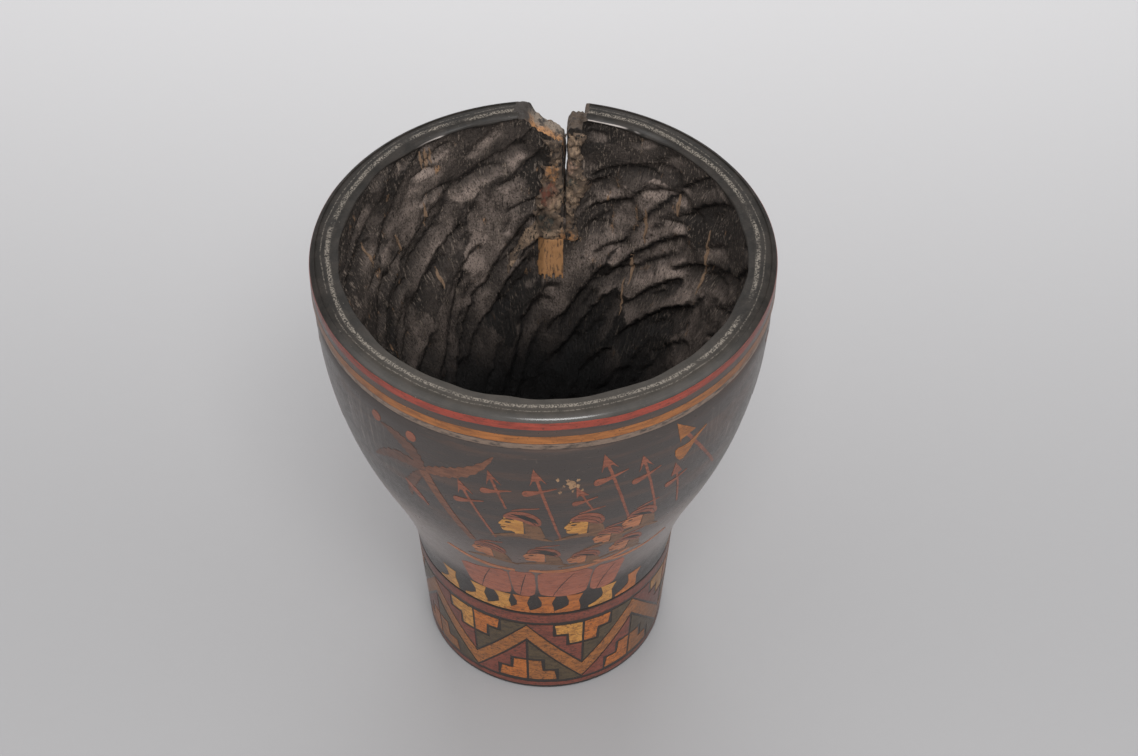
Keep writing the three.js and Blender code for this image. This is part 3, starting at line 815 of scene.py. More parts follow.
@dataclass(frozen=True)
class ResinWear:
    """What use left on every inlay: grime, more of it on the foot, and painted shade towards the cup's sides.
    """

    dirt_and_shade: Colour = (0.035, 0.025, 0.02)
    dirty: tuple[float, float] = (0.42, 0.33)
    foot: tuple[float, float] = (66.0, 50.0)
    foot_dirt: float = 0.06
    # Where the painted shade towards the cup's sides starts and is full, as a share of the radius across.
    sides: tuple[float, float] = (0.5, 1.0)
    lighter: float = 1.4

    def cover(self, shader: Shader) -> bpy.types.NodeSocket:
        """How much grime and painted shade lies on each place."""
        low = shader.spread(shader.between(shader.along(2), *self.foot), 0.0, self.foot_dirt)
        grains = shader.maths("SUBTRACT", shader.grain(1.2, 7.0, (1.0, 1.0, 1.8), 0.5), low)
        aside = shader.maths("DIVIDE", shader.maths("ABSOLUTE", shader.along(0)), shader.radius())
        grains = shader.product(shader.between(grains, *self.dirty), 0.75)
        # Painted shade: darker towards the cup's left and right sides.
        return shader.maths("MAXIMUM", grains, shader.product(shader.between(aside, *self.sides), 0.6))


class Resin(Enum):
    """The inlays' colours: record slot, main colour and the darker one that it wears to."""

    RED = ("red_resin", (0.305, 0.054, 0.034), (0.145, 0.035, 0.025))
    OCHRE = ("ochre_resin", (0.335, 0.125, 0.036), (0.165, 0.063, 0.024))
    ORANGE = ("ochre_resin", (0.45, 0.140, 0.030), (0.22, 0.068, 0.020))
    YELLOW = ("ochre_resin", (0.54, 0.255, 0.060), (0.27, 0.105, 0.028))
    OLIVE = ("leaf_resin", (0.090, 0.062, 0.034), (0.046, 0.034, 0.022))
    MAROON = ("red_resin", (0.205, 0.056, 0.036), (0.100, 0.033, 0.024))
    CLOAK = ("brown_resin", (0.360, 0.118, 0.070), (0.210, 0.070, 0.045))
    RUST = ("rust_resin", (0.255, 0.088, 0.052), (0.125, 0.045, 0.030))
    FLESH = ("ochre_resin", (0.46, 0.170, 0.072), (0.24, 0.085, 0.040))
    BARE = ("ochre_resin", (0.35, 0.21, 0.115), (0.16, 0.09, 0.055))
    HAIR = ("leaf_resin", (0.185, 0.092, 0.046), (0.085, 0.046, 0.028))
    FROND = ("leaf_resin", (0.180, 0.078, 0.046), (0.095, 0.042, 0.028))
    FADED = ("leaf_resin", (0.120, 0.058, 0.040), (0.070, 0.040, 0.031))
    INK = ("wood", (0.022, 0.018, 0.016), (0.040, 0.032, 0.028))

    @property
    def slot(self) -> str:
        """The record's slot of this colour."""
        return self.value[0]

    def material(self) -> bpy.types.Material:
        """The colour's material, made once: mottled, scratched, darkened with grime and with painted shade
        towards the cup's sides.
        """
        name = f"resin_{self.name.lower()}"
        if name in bpy.data.materials:
            return bpy.data.materials[name]
        _, main, worn = self.value
        shader = Shader(name)
        wear = ResinWear()
        mottle = shader.between(shader.turned_grain(1.8, 5.0, 7.0), 0.36, 0.58)
        colour = shader.mix(shader.spread(mottle, 0.3, 1.0), worn, main)
        brush = shader.between(shader.turned_grain(0.6, 8.0, 5.0), 0.50, 0.68)
        lighter = tuple(min(1.0, wear.lighter * part) for part in main)
        colour = shader.mix(shader.product(brush, 0.6), colour, lighter)
        # Grime, and painted shade towards the cup's sides.
        colour = shader.mix(wear.cover(shader), colour, wear.dirt_and_shade)
        roughness = shader.spread(shader.grain(2.5, 4.0), 0.24, 0.52)
        shader.gloss(0.35)
        shader.polish(0.12, 0.35)
        return shader.finish(colour, roughness, shader.grain(1.2, 6.0, (1.0, 1.0, 2.0)), 0.08)


def finish_piece(
    name: str,
    shape: bmesh.types.BMesh,
    finishes: Sequence[bpy.types.Material],
    slot: str,
    stands_for: Iterable[str] = (),
    smooth_below: float = 38.0,
) -> bpy.types.Object:
    """Turns a shape in millimetres into a piece of the part.

    Args:
        name: the piece's name.
        shape: its bmesh, which is freed.
        finishes: its materials, in the order of its faces' numbers.
        slot: the record's slot of its finish; not used.
        stands_for: the CAD nodes that it replaces.
        smooth_below: edges sharper than this many degrees stay crisp.

    Returns:
        The piece's object.
    """
    bmesh.ops.scale(shape, vec=(MM, MM, MM), verts=shape.verts[:])
    mesh = mesh_of(name, shape)
    mesh.shade_smooth()
    mesh.set_sharp_from_angle(angle=math.radians(smooth_below))
    for finish in finishes:
        mesh.materials.append(finish)
    piece = linked(name, mesh)
    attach(piece, BODY)
    if stands_for:
        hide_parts(*stands_for)
    LOG.info("%s: %d faces", name, len(mesh.polygons))
    return piece


@dataclass(frozen=True)
class Gouges:
    """A set of gouge marks, scattered evenly over the bore.

    Each mark slopes down to its upper edge, where the wood broke away. Marks lean further from the
    upright towards the lip.
    """

    count: int
    depth: tuple[float, float]
    length: tuple[float, float]
    width: tuple[float, float]
    crest: float = 0.8
    bend: float = 0.35
    lean: tuple[float, float] = (6.0, 58.0)
    lean_spread: float = 34.0
    ragged: float = 0.0
    shades: float = 0.3819660113
    scatter: tuple[float, float, float, float] = (0.7548776662, 0.569840291, 0.6180339887, 0.8191725134)

    def wobble(self, angle: np.ndarray, height: np.ndarray) -> np.ndarray:
        """A quick unsteadiness from -1 to 1, as a blade has in dry wood."""
        turn = np.radians(angle)
        slow = np.sin(79 * turn + 2 * np.sin(0.31 * height)) + np.sin(0.9 * height + 2 * np.sin(19 * turn))
        return (slow + np.sin(163 * turn - 1.7 * height)) / 3

    def depths(
        self, section: Section, angle: np.ndarray, height: np.ndarray
    ) -> tuple[np.ndarray, np.ndarray, np.ndarray]:
        """How deep the gouge went at each place.

        Args:
            section: the cup's section.
            angle: places' angles in degrees.
            height: places' heights.

        Returns:
            The depth of the deepest mark over each place, how near the place is to that mark's broken edge,
            and the mark's own tone from 0 to 1.
        """
        radius = section.bore(height)
        foot = section.bore_foot
        top = section.height - section.lip_depth
        depth = np.zeros_like(height)
        edge = np.zeros_like(height)
        tone = np.full_like(height, 0.5)
        shake = self.ragged * self.wobble(angle, height)
        for number in range(self.count):
            turn, rise, size, cut = ((number + 0.5) * step % 1 for step in self.scatter)
            lean = math.radians(lerp(*self.lean, rise) + self.lean_spread * (cut - 0.5))
            aside = np.radians((angle - 360 * turn + 180) % 360 - 180) * radius
            up = height - lerp(foot, top, rise)
            run = (up * math.cos(lean) - aside * math.sin(lean)) / (lerp(*self.length, size) / 2)
            off = (up * math.sin(lean) + aside * math.cos(lean)) / (lerp(*self.width, size) / 2)
            off = off + self.bend * run**2 + shake
            slope = np.clip((off + 1) / (self.crest + 1), 0, 1)
            brink = np.clip((1 - off) / (1 - self.crest), 0, 1)
            mark = lerp(*self.depth, cut) * slope * brink * np.clip(1 - run**4, 0, 1)
            over = mark > depth
            brow = np.clip(1 - abs(off - 0.5 * (1 + self.crest)) / (1 - self.crest), 0, 1)
            edge = np.where(over, brow, edge)
            tone = np.where(over, (number + 0.5) * self.shades % 1, tone)
            depth = np.where(over, mark, depth)
        return depth, edge, tone


@dataclass(frozen=True)
class CarvedBore:
    """The bore as the gouge left it: broad marks, smaller cuts over them and torn fibres."""

    RIDGE = "ridge"
    CREASE = "crease"
    FACET = "facet"
    LIT_FROM_ABOVE = "lit_from_above"

    section: Section
    broad: Gouges = Gouges(count=110, depth=(1.6, 5.2), length=(36, 64), width=(10, 22), ragged=0.08)
    small: Gouges = Gouges(
        count=420,
        depth=(0.4, 2.4),
        length=(9, 26),
        width=(3.4, 8.0),
        crest=0.7,
        lean_spread=60.0,
        ragged=0.22,
    )
    run_out: float = 3.0
    margin: float = 2.0
    fill_angle: float = 174.3
    fill_width: float = 11.0
    fill_low: float = 122.5
    fibre_depth: float = 0.25
    small_crease: float = 0.6
    small_shows: float = 0.3

    def share(self, angle: np.ndarray, height: np.ndarray) -> np.ndarray:
        """How much of the gouging reaches each place: none at the bore's ends or round the filler."""
        top = self.section.height - self.section.lip_depth
        from_ends = np.minimum(top - height, height - self.section.bore_foot)
        aside = np.radians((angle - self.fill_angle + 180) % 360 - 180) * self.section.bore(height)
        from_fill = np.maximum(np.abs(aside) - self.fill_width / 2, self.fill_low - height) - self.margin
        return np.clip(np.minimum(from_ends, from_fill) / self.run_out, 0, 1)

    def fibres(self, angle: np.ndarray, height: np.ndarray) -> np.ndarray:
        """A fine upright ripple, from -1 to 1, as torn fibres leave."""
        turn = np.radians(angle)
        slow = np.sin(47 * turn + np.sin(height / 9.0)) + np.sin(83 * turn - height / 31.0)
        fast = np.sin(131 * turn + 1.7 * np.sin(height / 6.0)) * np.sin(height / 4.3 + 5 * turn)
        return (slow + fast) / 3

    def radius(self, angle: np.ndarray, height: np.ndarray) -> np.ndarray:
        """The carved bore's radius at places on its wall."""
        broad, small = (cuts.depths(self.section, angle, height)[0] for cuts in (self.broad, self.small))
        return self.section.bore(height) + self.share(angle, height) * (broad + small)

    def carve(self, mesh: bpy.types.Mesh) -> None:
        """Moves the bore's points outwards by the gouge's depth, and keeps its marks as numbers on them, with
        how far each point faces upwards for the material's painted light from above.
        """
        size = self.section
        places, angle, radius = measured(mesh)
        height = places[:, 2]
        middle = (size.wall(height) + size.bore(height)) / 2
        wall = (radius < middle) & (height < size.height - size.lip_depth) & (height > size.bore_foot)
        share = wall * self.share(angle, height)
        broad, broad_edge, broad_tone = self.broad.depths(size, angle, height)
        small, small_edge, small_tone = self.small.depths(size, angle, height)
        ripple = self.fibre_depth * self.fibres(angle, height)
        moved = radius + share * np.maximum(broad + small + ripple, 0)
        places[:, :2] *= (moved / np.maximum(radius, 1))[:, None]
        mesh.vertices.foreach_set("co", (places * MM).ravel())
        mesh.update()
        normals = np.empty(3 * len(mesh.vertices))
        mesh.vertex_normals.foreach_get("vector", normals)
        numbers = {
            self.RIDGE: np.clip(1 - (broad + small) / self.broad.depth[1], 0, 1),
            self.CREASE: share * np.maximum(broad_edge, self.small_crease * small_edge),
            self.FACET: np.where(small > self.small_shows, 0.5 * (broad_tone + small_tone), broad_tone),
            # How far each point faces upwards, for painted light from above.
            self.LIT_FROM_ABOVE: np.clip(normals[2::3], 0, 1),
        }
        for name, values in numbers.items():
            mesh.attributes.new(name, "FLOAT", "POINT").data.foreach_set("value", values)


@dataclass(frozen=True)
class Split:
    """The break in the rim: a chip on one side, a stub on the other and a crack that runs down."""

    section: Section
    angle: float = 174.3
    chip_width: float = 20.0
    chip_depth: float = 15.5
    stub_width: float = 7.0
    stub_drop: float = 7.4
    crack_width: float = 1.4
    crack_length: float = 35.0
    overshoot: float = 6.0
    spacing: float = 0.9
    inner: float = 58.0
    outer: float = 92.0

    def outline(self) -> Outline:
        """The break as seen from outside, with the chip on the right."""
        top = self.section.height + self.overshoot
        bottom = self.section.height - self.chip_depth
        stub = self.section.height - self.stub_drop
        half = self.crack_width / 2
        slope = (self.chip_width - half) / self.chip_depth
        return [
            (0.0, bottom - self.crack_length),
            (half, bottom),
            (0.55 * self.chip_width, bottom + 0.46 * self.chip_depth),
            (0.72 * self.chip_width, bottom + 0.78 * self.chip_depth),
            (self.chip_width + slope * self.overshoot, top),
            (-self.stub_width - 5.0, top),
            (-self.stub_width - 1.8, self.section.height - 0.6),
            (-self.stub_width - 0.4, self.section.height - 2.0),
            (-self.stub_width, stub + 0.2),
            (-0.75 * self.stub_width, stub + 1.2),
            (-0.4 * self.stub_width, stub + 1.0),
            (-half, stub - 1.6),
            (-half, bottom),
        ]

    def jagged(self, across: float, out: float, up: float) -> Vector:
        """A point of the break, moved as torn fibres would leave it."""
        bottom = self.section.height - self.chip_depth
        sway = 1.0 * noise.noise(Vector((3.1, out * 0.07, up * 0.11)))
        sway += 0.25 * noise.noise(Vector((9.4, out * 0.4, up * 0.5)))
        rise = 1.5 * noise.noise(Vector((across * 0.75, out * 0.7, 4.2)))
        rise += 0.9 * noise.noise(Vector((across * 0.25, out * 0.2, 8.8)))
        share = min(1.0, max(0.0, (up - bottom) / 2)) * min(1.0, abs(across) / 2)
        return Vector((across + sway, out, up + share * rise))

    def cutter(self, finish: bpy.types.Material) -> bpy.types.Object:
        """The solid that the break takes out of the rim."""
        corners = self.outline()
        shape = bmesh.new()
        ring = []
        for (x0, z0), (x1, z1) in zip(corners, corners[1:] + corners[:1]):
            steps = max(1, round(math.hypot(x1 - x0, z1 - z0) / self.spacing))
            for step in range(steps):
                share = step / steps
                ring.append(shape.verts.new((x0 + (x1 - x0) * share, self.inner, z0 + (z1 - z0) * share)))
        loop = [shape.edges.new(pair) for pair in zip(ring, ring[1:] + ring[:1])]
        first = list(loop)
        slices = round((self.outer - self.inner) / self.spacing)
        for _ in range(slices):
            made = bmesh.ops.extrude_edge_only(shape, edges=loop)["geom"]
            loop = [item for item in made if isinstance(item, bmesh.types.BMEdge)]
            points = [item for item in made if isinstance(item, bmesh.types.BMVert)]
            loop = [edge for edge in loop if all(v in points for v in edge.verts)]
            bmesh.ops.translate(shape, verts=points, vec=(0, (self.outer - self.inner) / slices, 0))
        for rim in (first, loop):
            bmesh.ops.triangle_fill(shape, edges=rim, use_beauty=True)
        turn = math.radians(self.angle)
        outwards = Vector((math.sin(turn), -math.cos(turn), 0))
        aside = Vector((math.cos(turn), math.sin(turn), 0))
        for vert in shape.verts:
            across, out, up = self.jagged(*vert.co)
            vert.co = outwards * out + aside * across + Vector((0, 0, up))
        face_outwards(shape)
        bmesh.ops.scale(shape, vec=(MM, MM, MM), verts=shape.verts[:])
        mesh = mesh_of("split_cutter", shape)
        mesh.shade_smooth()
        mesh.materials.append(finish)
        return linked("split_cutter", mesh)

    def cut(self, piece: bpy.types.Object, cutter: bpy.types.Object) -> None:
        """Takes the break out of a piece for good."""
        modifier = piece.modifiers.new("split", "BOOLEAN")
        modifier.operation = "DIFFERENCE"
        modifier.solver = "EXACT"
        modifier.material_mode = "TRANSFER"
        modifier.object = cutter
        graph = bpy.context.evaluated_depsgraph_get()
        whole = piece.data
        piece.data = bpy.data.meshes.new_from_object(piece.evaluated_get(graph))
        piece.modifiers.clear()
        name = whole.name
        bpy.data.meshes.remove(whole)
        piece.data.name = name


class Zone(Enum):
    """The parts of the cup's surface, each with its own finish."""

    WALL = 0
    BEVEL = 1
    LIP = 2
    BORE = 3


@dataclass(frozen=True)
class CupBody:
    """The carved block: one turned surface from the base, up the wall, over the lip and down the bore."""

    section: Section
    wall: WornWall
    bore: CarvedBore
    steps: int = 400
    wall_step: float = 5.0
    bore_step: float = 0.95
    groove_width: float = 0.7
    groove_depth: float = 0.35
    undercut: float = 0.6
    lip_wave: float = 0.45
    outer_drop: float = 2.0
    inner_drop: float = 1.5

    def outside(self) -> Outline:
        """Radii and heights from the middle of the base to the top of the collar."""
        size = self.section
        rows = [(radius, 0.0) for radius in np.linspace(0, size.foot_radius - size.foot_chamfer, 6)]
        foot = np.linspace(size.foot_chamfer, size.waist_height - self.groove_width / 2, 11)
        rows += [(float(size.wall(height)), height) for height in foot]
        rows.append((size.waist_radius - self.groove_depth, size.waist_height))
        start = size.waist_height + self.groove_width / 2
        stop = size.ledge - 1.2
        flared = np.linspace(start, stop, round((stop - start) / self.wall_step))
        rows += [(float(size.wall(height)), height) for height in flared]
        rows.append((size.body_radius - self.undercut, size.ledge - 0.4))
        rows.append((size.body_radius - self.undercut, size.ledge))
        collar = np.linspace(size.ledge + 0.15, size.height - size.lip_rounding, 9)
        rows += [(float(size.wall(height)), height) for height in collar]
        return rows

    def mouth(self) -> Outline:
        """Radii and heights over the crowned lip and down to the bore."""
        size = self.section
        crest = size.rim_radius - 0.5 * size.lip_width
        rows = []
        for turn in np.radians(np.linspace(15, 75, 5)):
            radius = size.rim_radius - size.lip_rounding * (1 - math.cos(turn))
            rows.append((radius, size.height - size.lip_rounding * (1 - math.sin(turn)) - 0.15))
        for share in np.linspace(-0.6, 0.7, 9):
            drop = self.inner_drop if share > 0 else self.outer_drop
            rows.append((crest - share * 0.5 * size.lip_width, size.height - drop * abs(share) ** 2.2))
        inner = size.lip_radius + size.lip_edge
        low = size.height - size.lip_depth - size.lip_edge
        for turn in np.radians(np.linspace(100, 195, 7)):
            rows.append((inner + size.lip_edge * math.cos(turn), low + size.lip_edge * math.sin(turn)))
        return rows

    def inside(self) -> Outline:
        """Radii and heights from under the lip to the middle of the floor."""
        size = self.section
        top = size.height - size.lip_depth - size.lip_edge - 0.8
        heights = np.linspace(top, size.bore_foot, round((top - size.bore_foot) / self.bore_step))
        rows = [(float(size.bore(height)), height) for height in heights]
        corner = rows[-1][0] - size.floor_rounding
        for turn in np.radians(np.linspace(0, 90, 7)[1:]):
            across = size.floor_rounding * math.cos(turn)
            rows.append((corner + across, size.bore_foot - size.floor_rounding * math.sin(turn)))
        rows += [(radius, size.floor_thickness) for radius in np.linspace(corner, 0, 7)[1:]]
        return rows

    def zones(self, radius: np.ndarray, height: np.ndarray) -> np.ndarray:
        """The part of the surface that each place belongs to, as its number."""
        size = self.section
        middle = (size.wall(np.minimum(height, size.ledge - 1)) + size.bore(height)) / 2
        edge = size.height - size.lip_depth - size.lip_edge - 0.35
        inner_lip = (height > edge) & (radius < size.rim_radius - 1.5)
        lip = inner_lip | (height > size.height - size.lip_rounding)
        bore = (radius < middle) & (height > size.floor_thickness - 1)
        bevel = (height > size.ledge - 0.5) & (height < size.ledge + size.bevel)
        parts = [Zone.LIP.value, Zone.BORE.value, Zone.BEVEL.value]
        return np.select([lip, bore, bevel], parts, default=Zone.WALL.value)

    def wear(self, mesh: bpy.types.Mesh) -> None:
        """Moves the outside to the worn wall, makes the lip's edge wavy and numbers the zones."""
        size = self.section
        middles = np.empty(3 * len(mesh.polygons))
        mesh.polygons.foreach_get("center", middles)
        middles = middles.reshape(-1, 3) / MM
        zones = self.zones(np.hypot(middles[:, 0], middles[:, 1]), middles[:, 2])
        mesh.polygons.foreach_set("material_index", zones)
        places, angle, radius = measured(mesh)
        height = places[:, 2]
        zones = self.zones(radius, height)
        moved = radius + (self.wall.radius(angle, height) - size.wall(height)) * (zones != Zone.BORE.value)
        turn = np.radians(angle)
        waves = np.sin(9 * turn + 1.0) + np.sin(14 * turn) + np.sin(23 * turn + 2.0)
        inner = (zones == Zone.LIP.value) & (radius < size.lip_radius + 2)
        low = np.clip((size.height - size.lip_depth - height) / size.lip_edge, 0, 1)
        moved += inner * self.lip_wave * waves / 3
        places[:, 2] += inner * low * self.lip_wave * np.sin(17 * turn + 3 * np.sin(4 * turn))
        places[:, :2] *= (moved / np.maximum(radius, 1))[:, None] * (radius > 1)[:, None]
        mesh.vertices.foreach_set("co", (places * MM).ravel())
        mesh.update()

    def build(self) -> bpy.types.Object:
        """The whole cup, before the split is taken out of it."""
        shape = lathe(self.outside() + self.mouth() + self.inside(), self.steps)
        face_outwards(shape)
        finishes = [finish.material() for finish in (Lacquer(), ScuffedEdge(), LipWood(), GougedWood())]
        cup = finish_piece("carved_cup", shape, finishes, "wood", ["cup_body"])
        self.wear(cup.data)
        self.bore.carve(cup.data)
        return cup


@dataclass(frozen=True)
class Shape:
    """One flat shape of an inlay: its outline in angles and heights, and how proud it lies."""

    outline: Outline
    lift: float = 0.10


@dataclass(frozen=True)
class InlaySetter:
    """Sets flat shapes into a wall as thin pieces with slightly unsteady, hand-cut edges."""

    wall: WornWall | CarvedBore
    sunk: float = 0.5
    cut_step: float = 1.6
    tremor: float = 0.16
    grid_angle: float = 2.4
    grid_height: float = 2.6

    def hand_cut(self, outline: Outline) -> Outline:
        """The outline with more points along its edges, each a little off the straight."""
        drawn = []
        for (a0, h0), (a1, h1) in zip(outline, outline[1:] + outline[:1]):
            wide = math.radians(a1 - a0) * float(self.wall.section.wall(h0))
            steps = max(1, round(math.hypot(wide, h1 - h0) / self.cut_step))
            for step in range(steps):
                share = step / steps
                angle = a0 + (a1 - a0) * share
                height = h0 + (h1 - h0) * share
                shake = noise.noise_vector(Vector((angle * 0.55, height * 0.6, 3.7)))
                reach = self.tremor / float(self.wall.section.wall(height))
                drawn.append((angle + math.degrees(reach * shake.x), height + self.tremor * shake.y))
        return drawn

    def plate(self, shape: Shape) -> bmesh.types.BMesh:
        """One shape as a thin closed plate that follows the wall."""
        plate = bmesh.new()
        verts = [plate.verts.new((angle, height, 0)) for angle, height in self.hand_cut(shape.outline)]
        bmesh.ops.triangulate(plate, faces=[plate.faces.new(verts)])
        for axis, pitch in ((0, self.grid_angle), (1, self.grid_height)):
            low = min(vert.co[axis] for vert in verts)
            high = max(vert.co[axis] for vert in verts)
            normal = Vector((1 - axis, axis, 0))
            for line in range(math.ceil(low / pitch), math.floor(high / pitch) + 1):
                geometry = plate.verts[:] + plate.edges[:] + plate.faces[:]
                bmesh.ops.bisect_plane(plate, geom=geometry, plane_co=normal * line * pitch, plane_no=normal)
        lifts = {vert: shape.lift for vert in plate.verts}
        made = bmesh.ops.extrude_face_region(plate, geom=plate.faces[:])["geom"]
        lifts.update({item: -self.sunk for item in made if isinstance(item, bmesh.types.BMVert)})
        flat = np.array([vert.co[:2] for vert in lifts])
        radius = self.wall.radius(flat[:, 0], flat[:, 1]) + np.array(list(lifts.values()))
        turn = np.radians(flat[:, 0])
        places = np.stack((radius * np.sin(turn), -radius * np.cos(turn), flat[:, 1]), axis=1)
        for vert, place in zip(lifts, places.tolist()):
            vert.co = place
        face_outwards(plate)
        return plate

    def plates(self, shapes: Iterable[Shape]) -> bmesh.types.BMesh:
        """Several shapes' plates in one."""
        whole = bmesh.new()
        for shape in shapes:
            mesh = mesh_of("plate", self.plate(shape))
            whole.from_mesh(mesh)
            bpy.data.meshes.remove(mesh)
        return whole

    def set(
        self,
        name: str,
        shapes: Sequence[Shape],
        colour: Resin,
        stands_for: Iterable[str] = (),
    ) -> bpy.types.Object:
        """Sets shapes of one colour into the wall as one piece.

        Args:
            name: the piece's name.
            shapes: its shapes, which don't touch or lie at other lifts.
            colour: its resin.
            stands_for: the CAD nodes that it replaces.

        Returns:
            The piece's object.
        """
        return finish_piece(name, self.plates(shapes), [colour.material()], colour.slot, stands_for)


@dataclass(frozen=True)
class Rings:
    """The plain coloured rings under the lip, at the waist and at the base."""

    section: Section
    wall: WornWall
    steps: int = 240
    rows: int = 6
    lift: float = 0.06
    sunk: float = 0.6
    sway: float = 0.22
    sway_pace: float = 0.09

    def bands(self) -> dict[str, tuple[float, float, Resin]]:
        """Each ring's lower and upper edge and colour."""
        top = self.section.height
        waist = self.section.waist_height
        return {
            "rim_red_ring": (top - 4.9, top - 1.8, Resin.RED),
            "rim_ochre_ring": (top - 11.8, top - 8.2, Resin.OCHRE),
            "waist_red_ring": (waist - 6.3, waist - 1.1, Resin.MAROON),
            "base_red_ring": (2.0, 4.2, Resin.MAROON),
        }

    def ring(self, name: str, low: float, high: float, colour: Resin) -> bpy.types.Object:
        """One ring, turned as a thin hoop that follows the wall."""
        heights = np.linspace(low, high, self.rows)
        outer = [(float(self.section.wall(height)) + self.lift, height) for height in heights]
        inner = [(radius - self.lift - self.sunk, height) for radius, height in reversed(outer)]
        shape = lathe(outer + inner, self.steps, closed=True)
        for vert in shape.verts:
            radius = math.hypot(vert.co.x, vert.co.y)
            angle = math.degrees(math.atan2(vert.co.x, -vert.co.y))
            worn = float(self.wall.radius(angle, vert.co.z) - self.section.wall(vert.co.z))
            spot = Vector((vert.co.x * self.sway_pace, vert.co.y * self.sway_pace, low))
            vert.co.z += self.sway * noise.noise(spot)
            vert.co.x *= (radius + worn) / radius
            vert.co.y *= (radius + worn) / radius
        face_outwards(shape)
        return finish_piece(name + "_inlay", shape, [colour.material()], colour.slot, [name])

    def build(self) -> dict[str, bpy.types.Object]:
        """All the rings, by their nodes' names."""
        return {name: self.ring(name, *band) for name, band in self.bands().items()}


@dataclass(frozen=True)
class FootBand:
    """The zigzag round the foot, with a stepped motif in each triangle, half in each of two colours."""

    section: Section
    setter: InlaySetter
    count: int = 7
    turn: float = 18.0
    low: float = 5.4
    high: float = 45.5
    margin: float = 1.4
    ribbon: float = 4.2
    line: float = 0.5
    slanted_line: float = 1.2
    motif_margin: float = 1.1
    base_width: float = 23.0
    base_height: float = 6.0
    top_width: float = 12.0
    top_height: float = 7.0

    @property
    def half_period(self) -> float:
        """Degrees from a valley of the zigzag to the next peak."""
        return 180 / self.count

    @property
    def upright(self) -> float:
        """Half the ribbon's height, measured straight up."""
        run = math.radians(self.half_period) * float(self.section.wall((self.low + self.high) / 2))
        return self.ribbon / 2 * math.hypot(1, (self.high - self.low) / run)

    @property
    def valley(self) -> float:
        """Height of the ribbon's middle at a valley."""
        return self.low + self.margin + self.upright

    @property
    def peak(self) -> float:
        """Height of the ribbon's middle at a peak."""
        return self.high - self.margin - self.upright

    def degrees(self, width: float, height: float) -> float:
        """A width on the wall as an angle."""
        return math.degrees(width / float(self.section.wall(height)))

    def ribbon_shapes(self) -> list[Shape]:
        """The zigzag's straight legs, which meet at the valleys and peaks."""
        legs = []
        for number in range(2 * self.count):
            start = self.turn + number * self.half_period
            rising = number % 2 == 0
            first, last = (self.valley, self.peak) if rising else (self.peak, self.valley)
            legs.append(
                Shape(
                    [
                        (start, first - self.upright),
                        (start + self.half_period, last - self.upright),
                        (start + self.half_period, last + self.upright),
                        (start, first + self.upright),
                    ]
                )
            )
        return legs

    def field(self, middle: float, side: int, up: int) -> Shape:
        """Half a triangle, cut away round its stepped motif.

        Args:
            middle: angle of the triangle's point.
            side: -1 for the left half, 1 for the right.
            up: 1 for a triangle that points up, -1 for one that points down.

        Returns:
            The field's shape.
        """
        line = self.line
        off = up * (self.upright + self.slanted_line)
        base = self.low + line if up > 0 else self.high - line
        ends = (self.peak, self.valley) if up > 0 else (self.valley, self.peak)
        point, inner = (end - off for end in ends)
        wide = self.degrees(self.base_width / 2 + 2 * line, base)
        narrow = self.degrees(self.top_width / 2 + 2 * line, base)
        thin = self.degrees(line, base)
        shoulder = base + up * (self.motif_margin + self.base_height + 2 * line)
        top = shoulder + up * self.top_height
        reach = self.half_period * (point - base) / (point - inner)
        outline = [
            (-min(reach, self.half_period), base),
            (-wide, base),
            (-wide, shoulder),
            (-narrow, shoulder),
            (-narrow, top),
            (-thin, top),
            (-thin, point - up * 1.2),
        ]
        if reach > self.half_period:
            outline.insert(0, (-self.half_period, inner))
        placed = [(middle - side * angle, height) for angle, height in outline]
        return Shape(placed if side * up < 0 else placed[::-1])

    def motif(self, middle: float, side: int, up: int) -> Shape:
        """Half a stepped motif."""
        base = self.low + self.motif_margin if up > 0 else self.high - self.motif_margin
        wide = self.base_width / 2
        narrow = self.top_width / 2
        shoulder = base + up * self.base_height
        top = shoulder + up * self.top_height
        outline = [
            (self.line, base),
            (wide, base),
            (wide - 0.8, shoulder),
            (narrow, shoulder),
            (narrow - 0.5, top),
            (self.line, top),
        ]
        placed = [(side * across, height) for across, height in outline]
        if side * up < 0:
            placed.reverse()
        return Shape(self.setter.wall.around(placed, middle))

    def build(self) -> None:
        """Sets the ribbon, the fields and the stepped motifs."""
        self.setter.set("zigzag_ribbon_inlay", self.ribbon_shapes(), Resin.OCHRE, ["zigzag_ribbon"])
        valleys = [self.turn + 2 * self.half_period * number for number in range(self.count)]
        peaks = [angle + self.half_period for angle in valleys]
        for name, angles, up in (("hanging", valleys, -1), ("rising", peaks, 1)):
            left, right = (Resin.YELLOW, Resin.ORANGE) if up < 0 else (Resin.ORANGE, Resin.OCHRE)
            for shade, side, colour in (("red", -1, Resin.MAROON), ("olive", 1, Resin.OLIVE)):
                fields = [self.field(angle, side, up) for angle in angles]
                self.setter.set(f"{name}_fields_{shade}", fields, colour)
            for number, angle in enumerate(angles, 1):
                node = f"{name}_step_{number}"
                self.setter.set(f"{node}_left", [self.motif(angle, -1, up)], left, [node])
                self.setter.set(f"{node}_right", [self.motif(angle, 1, up)], right)


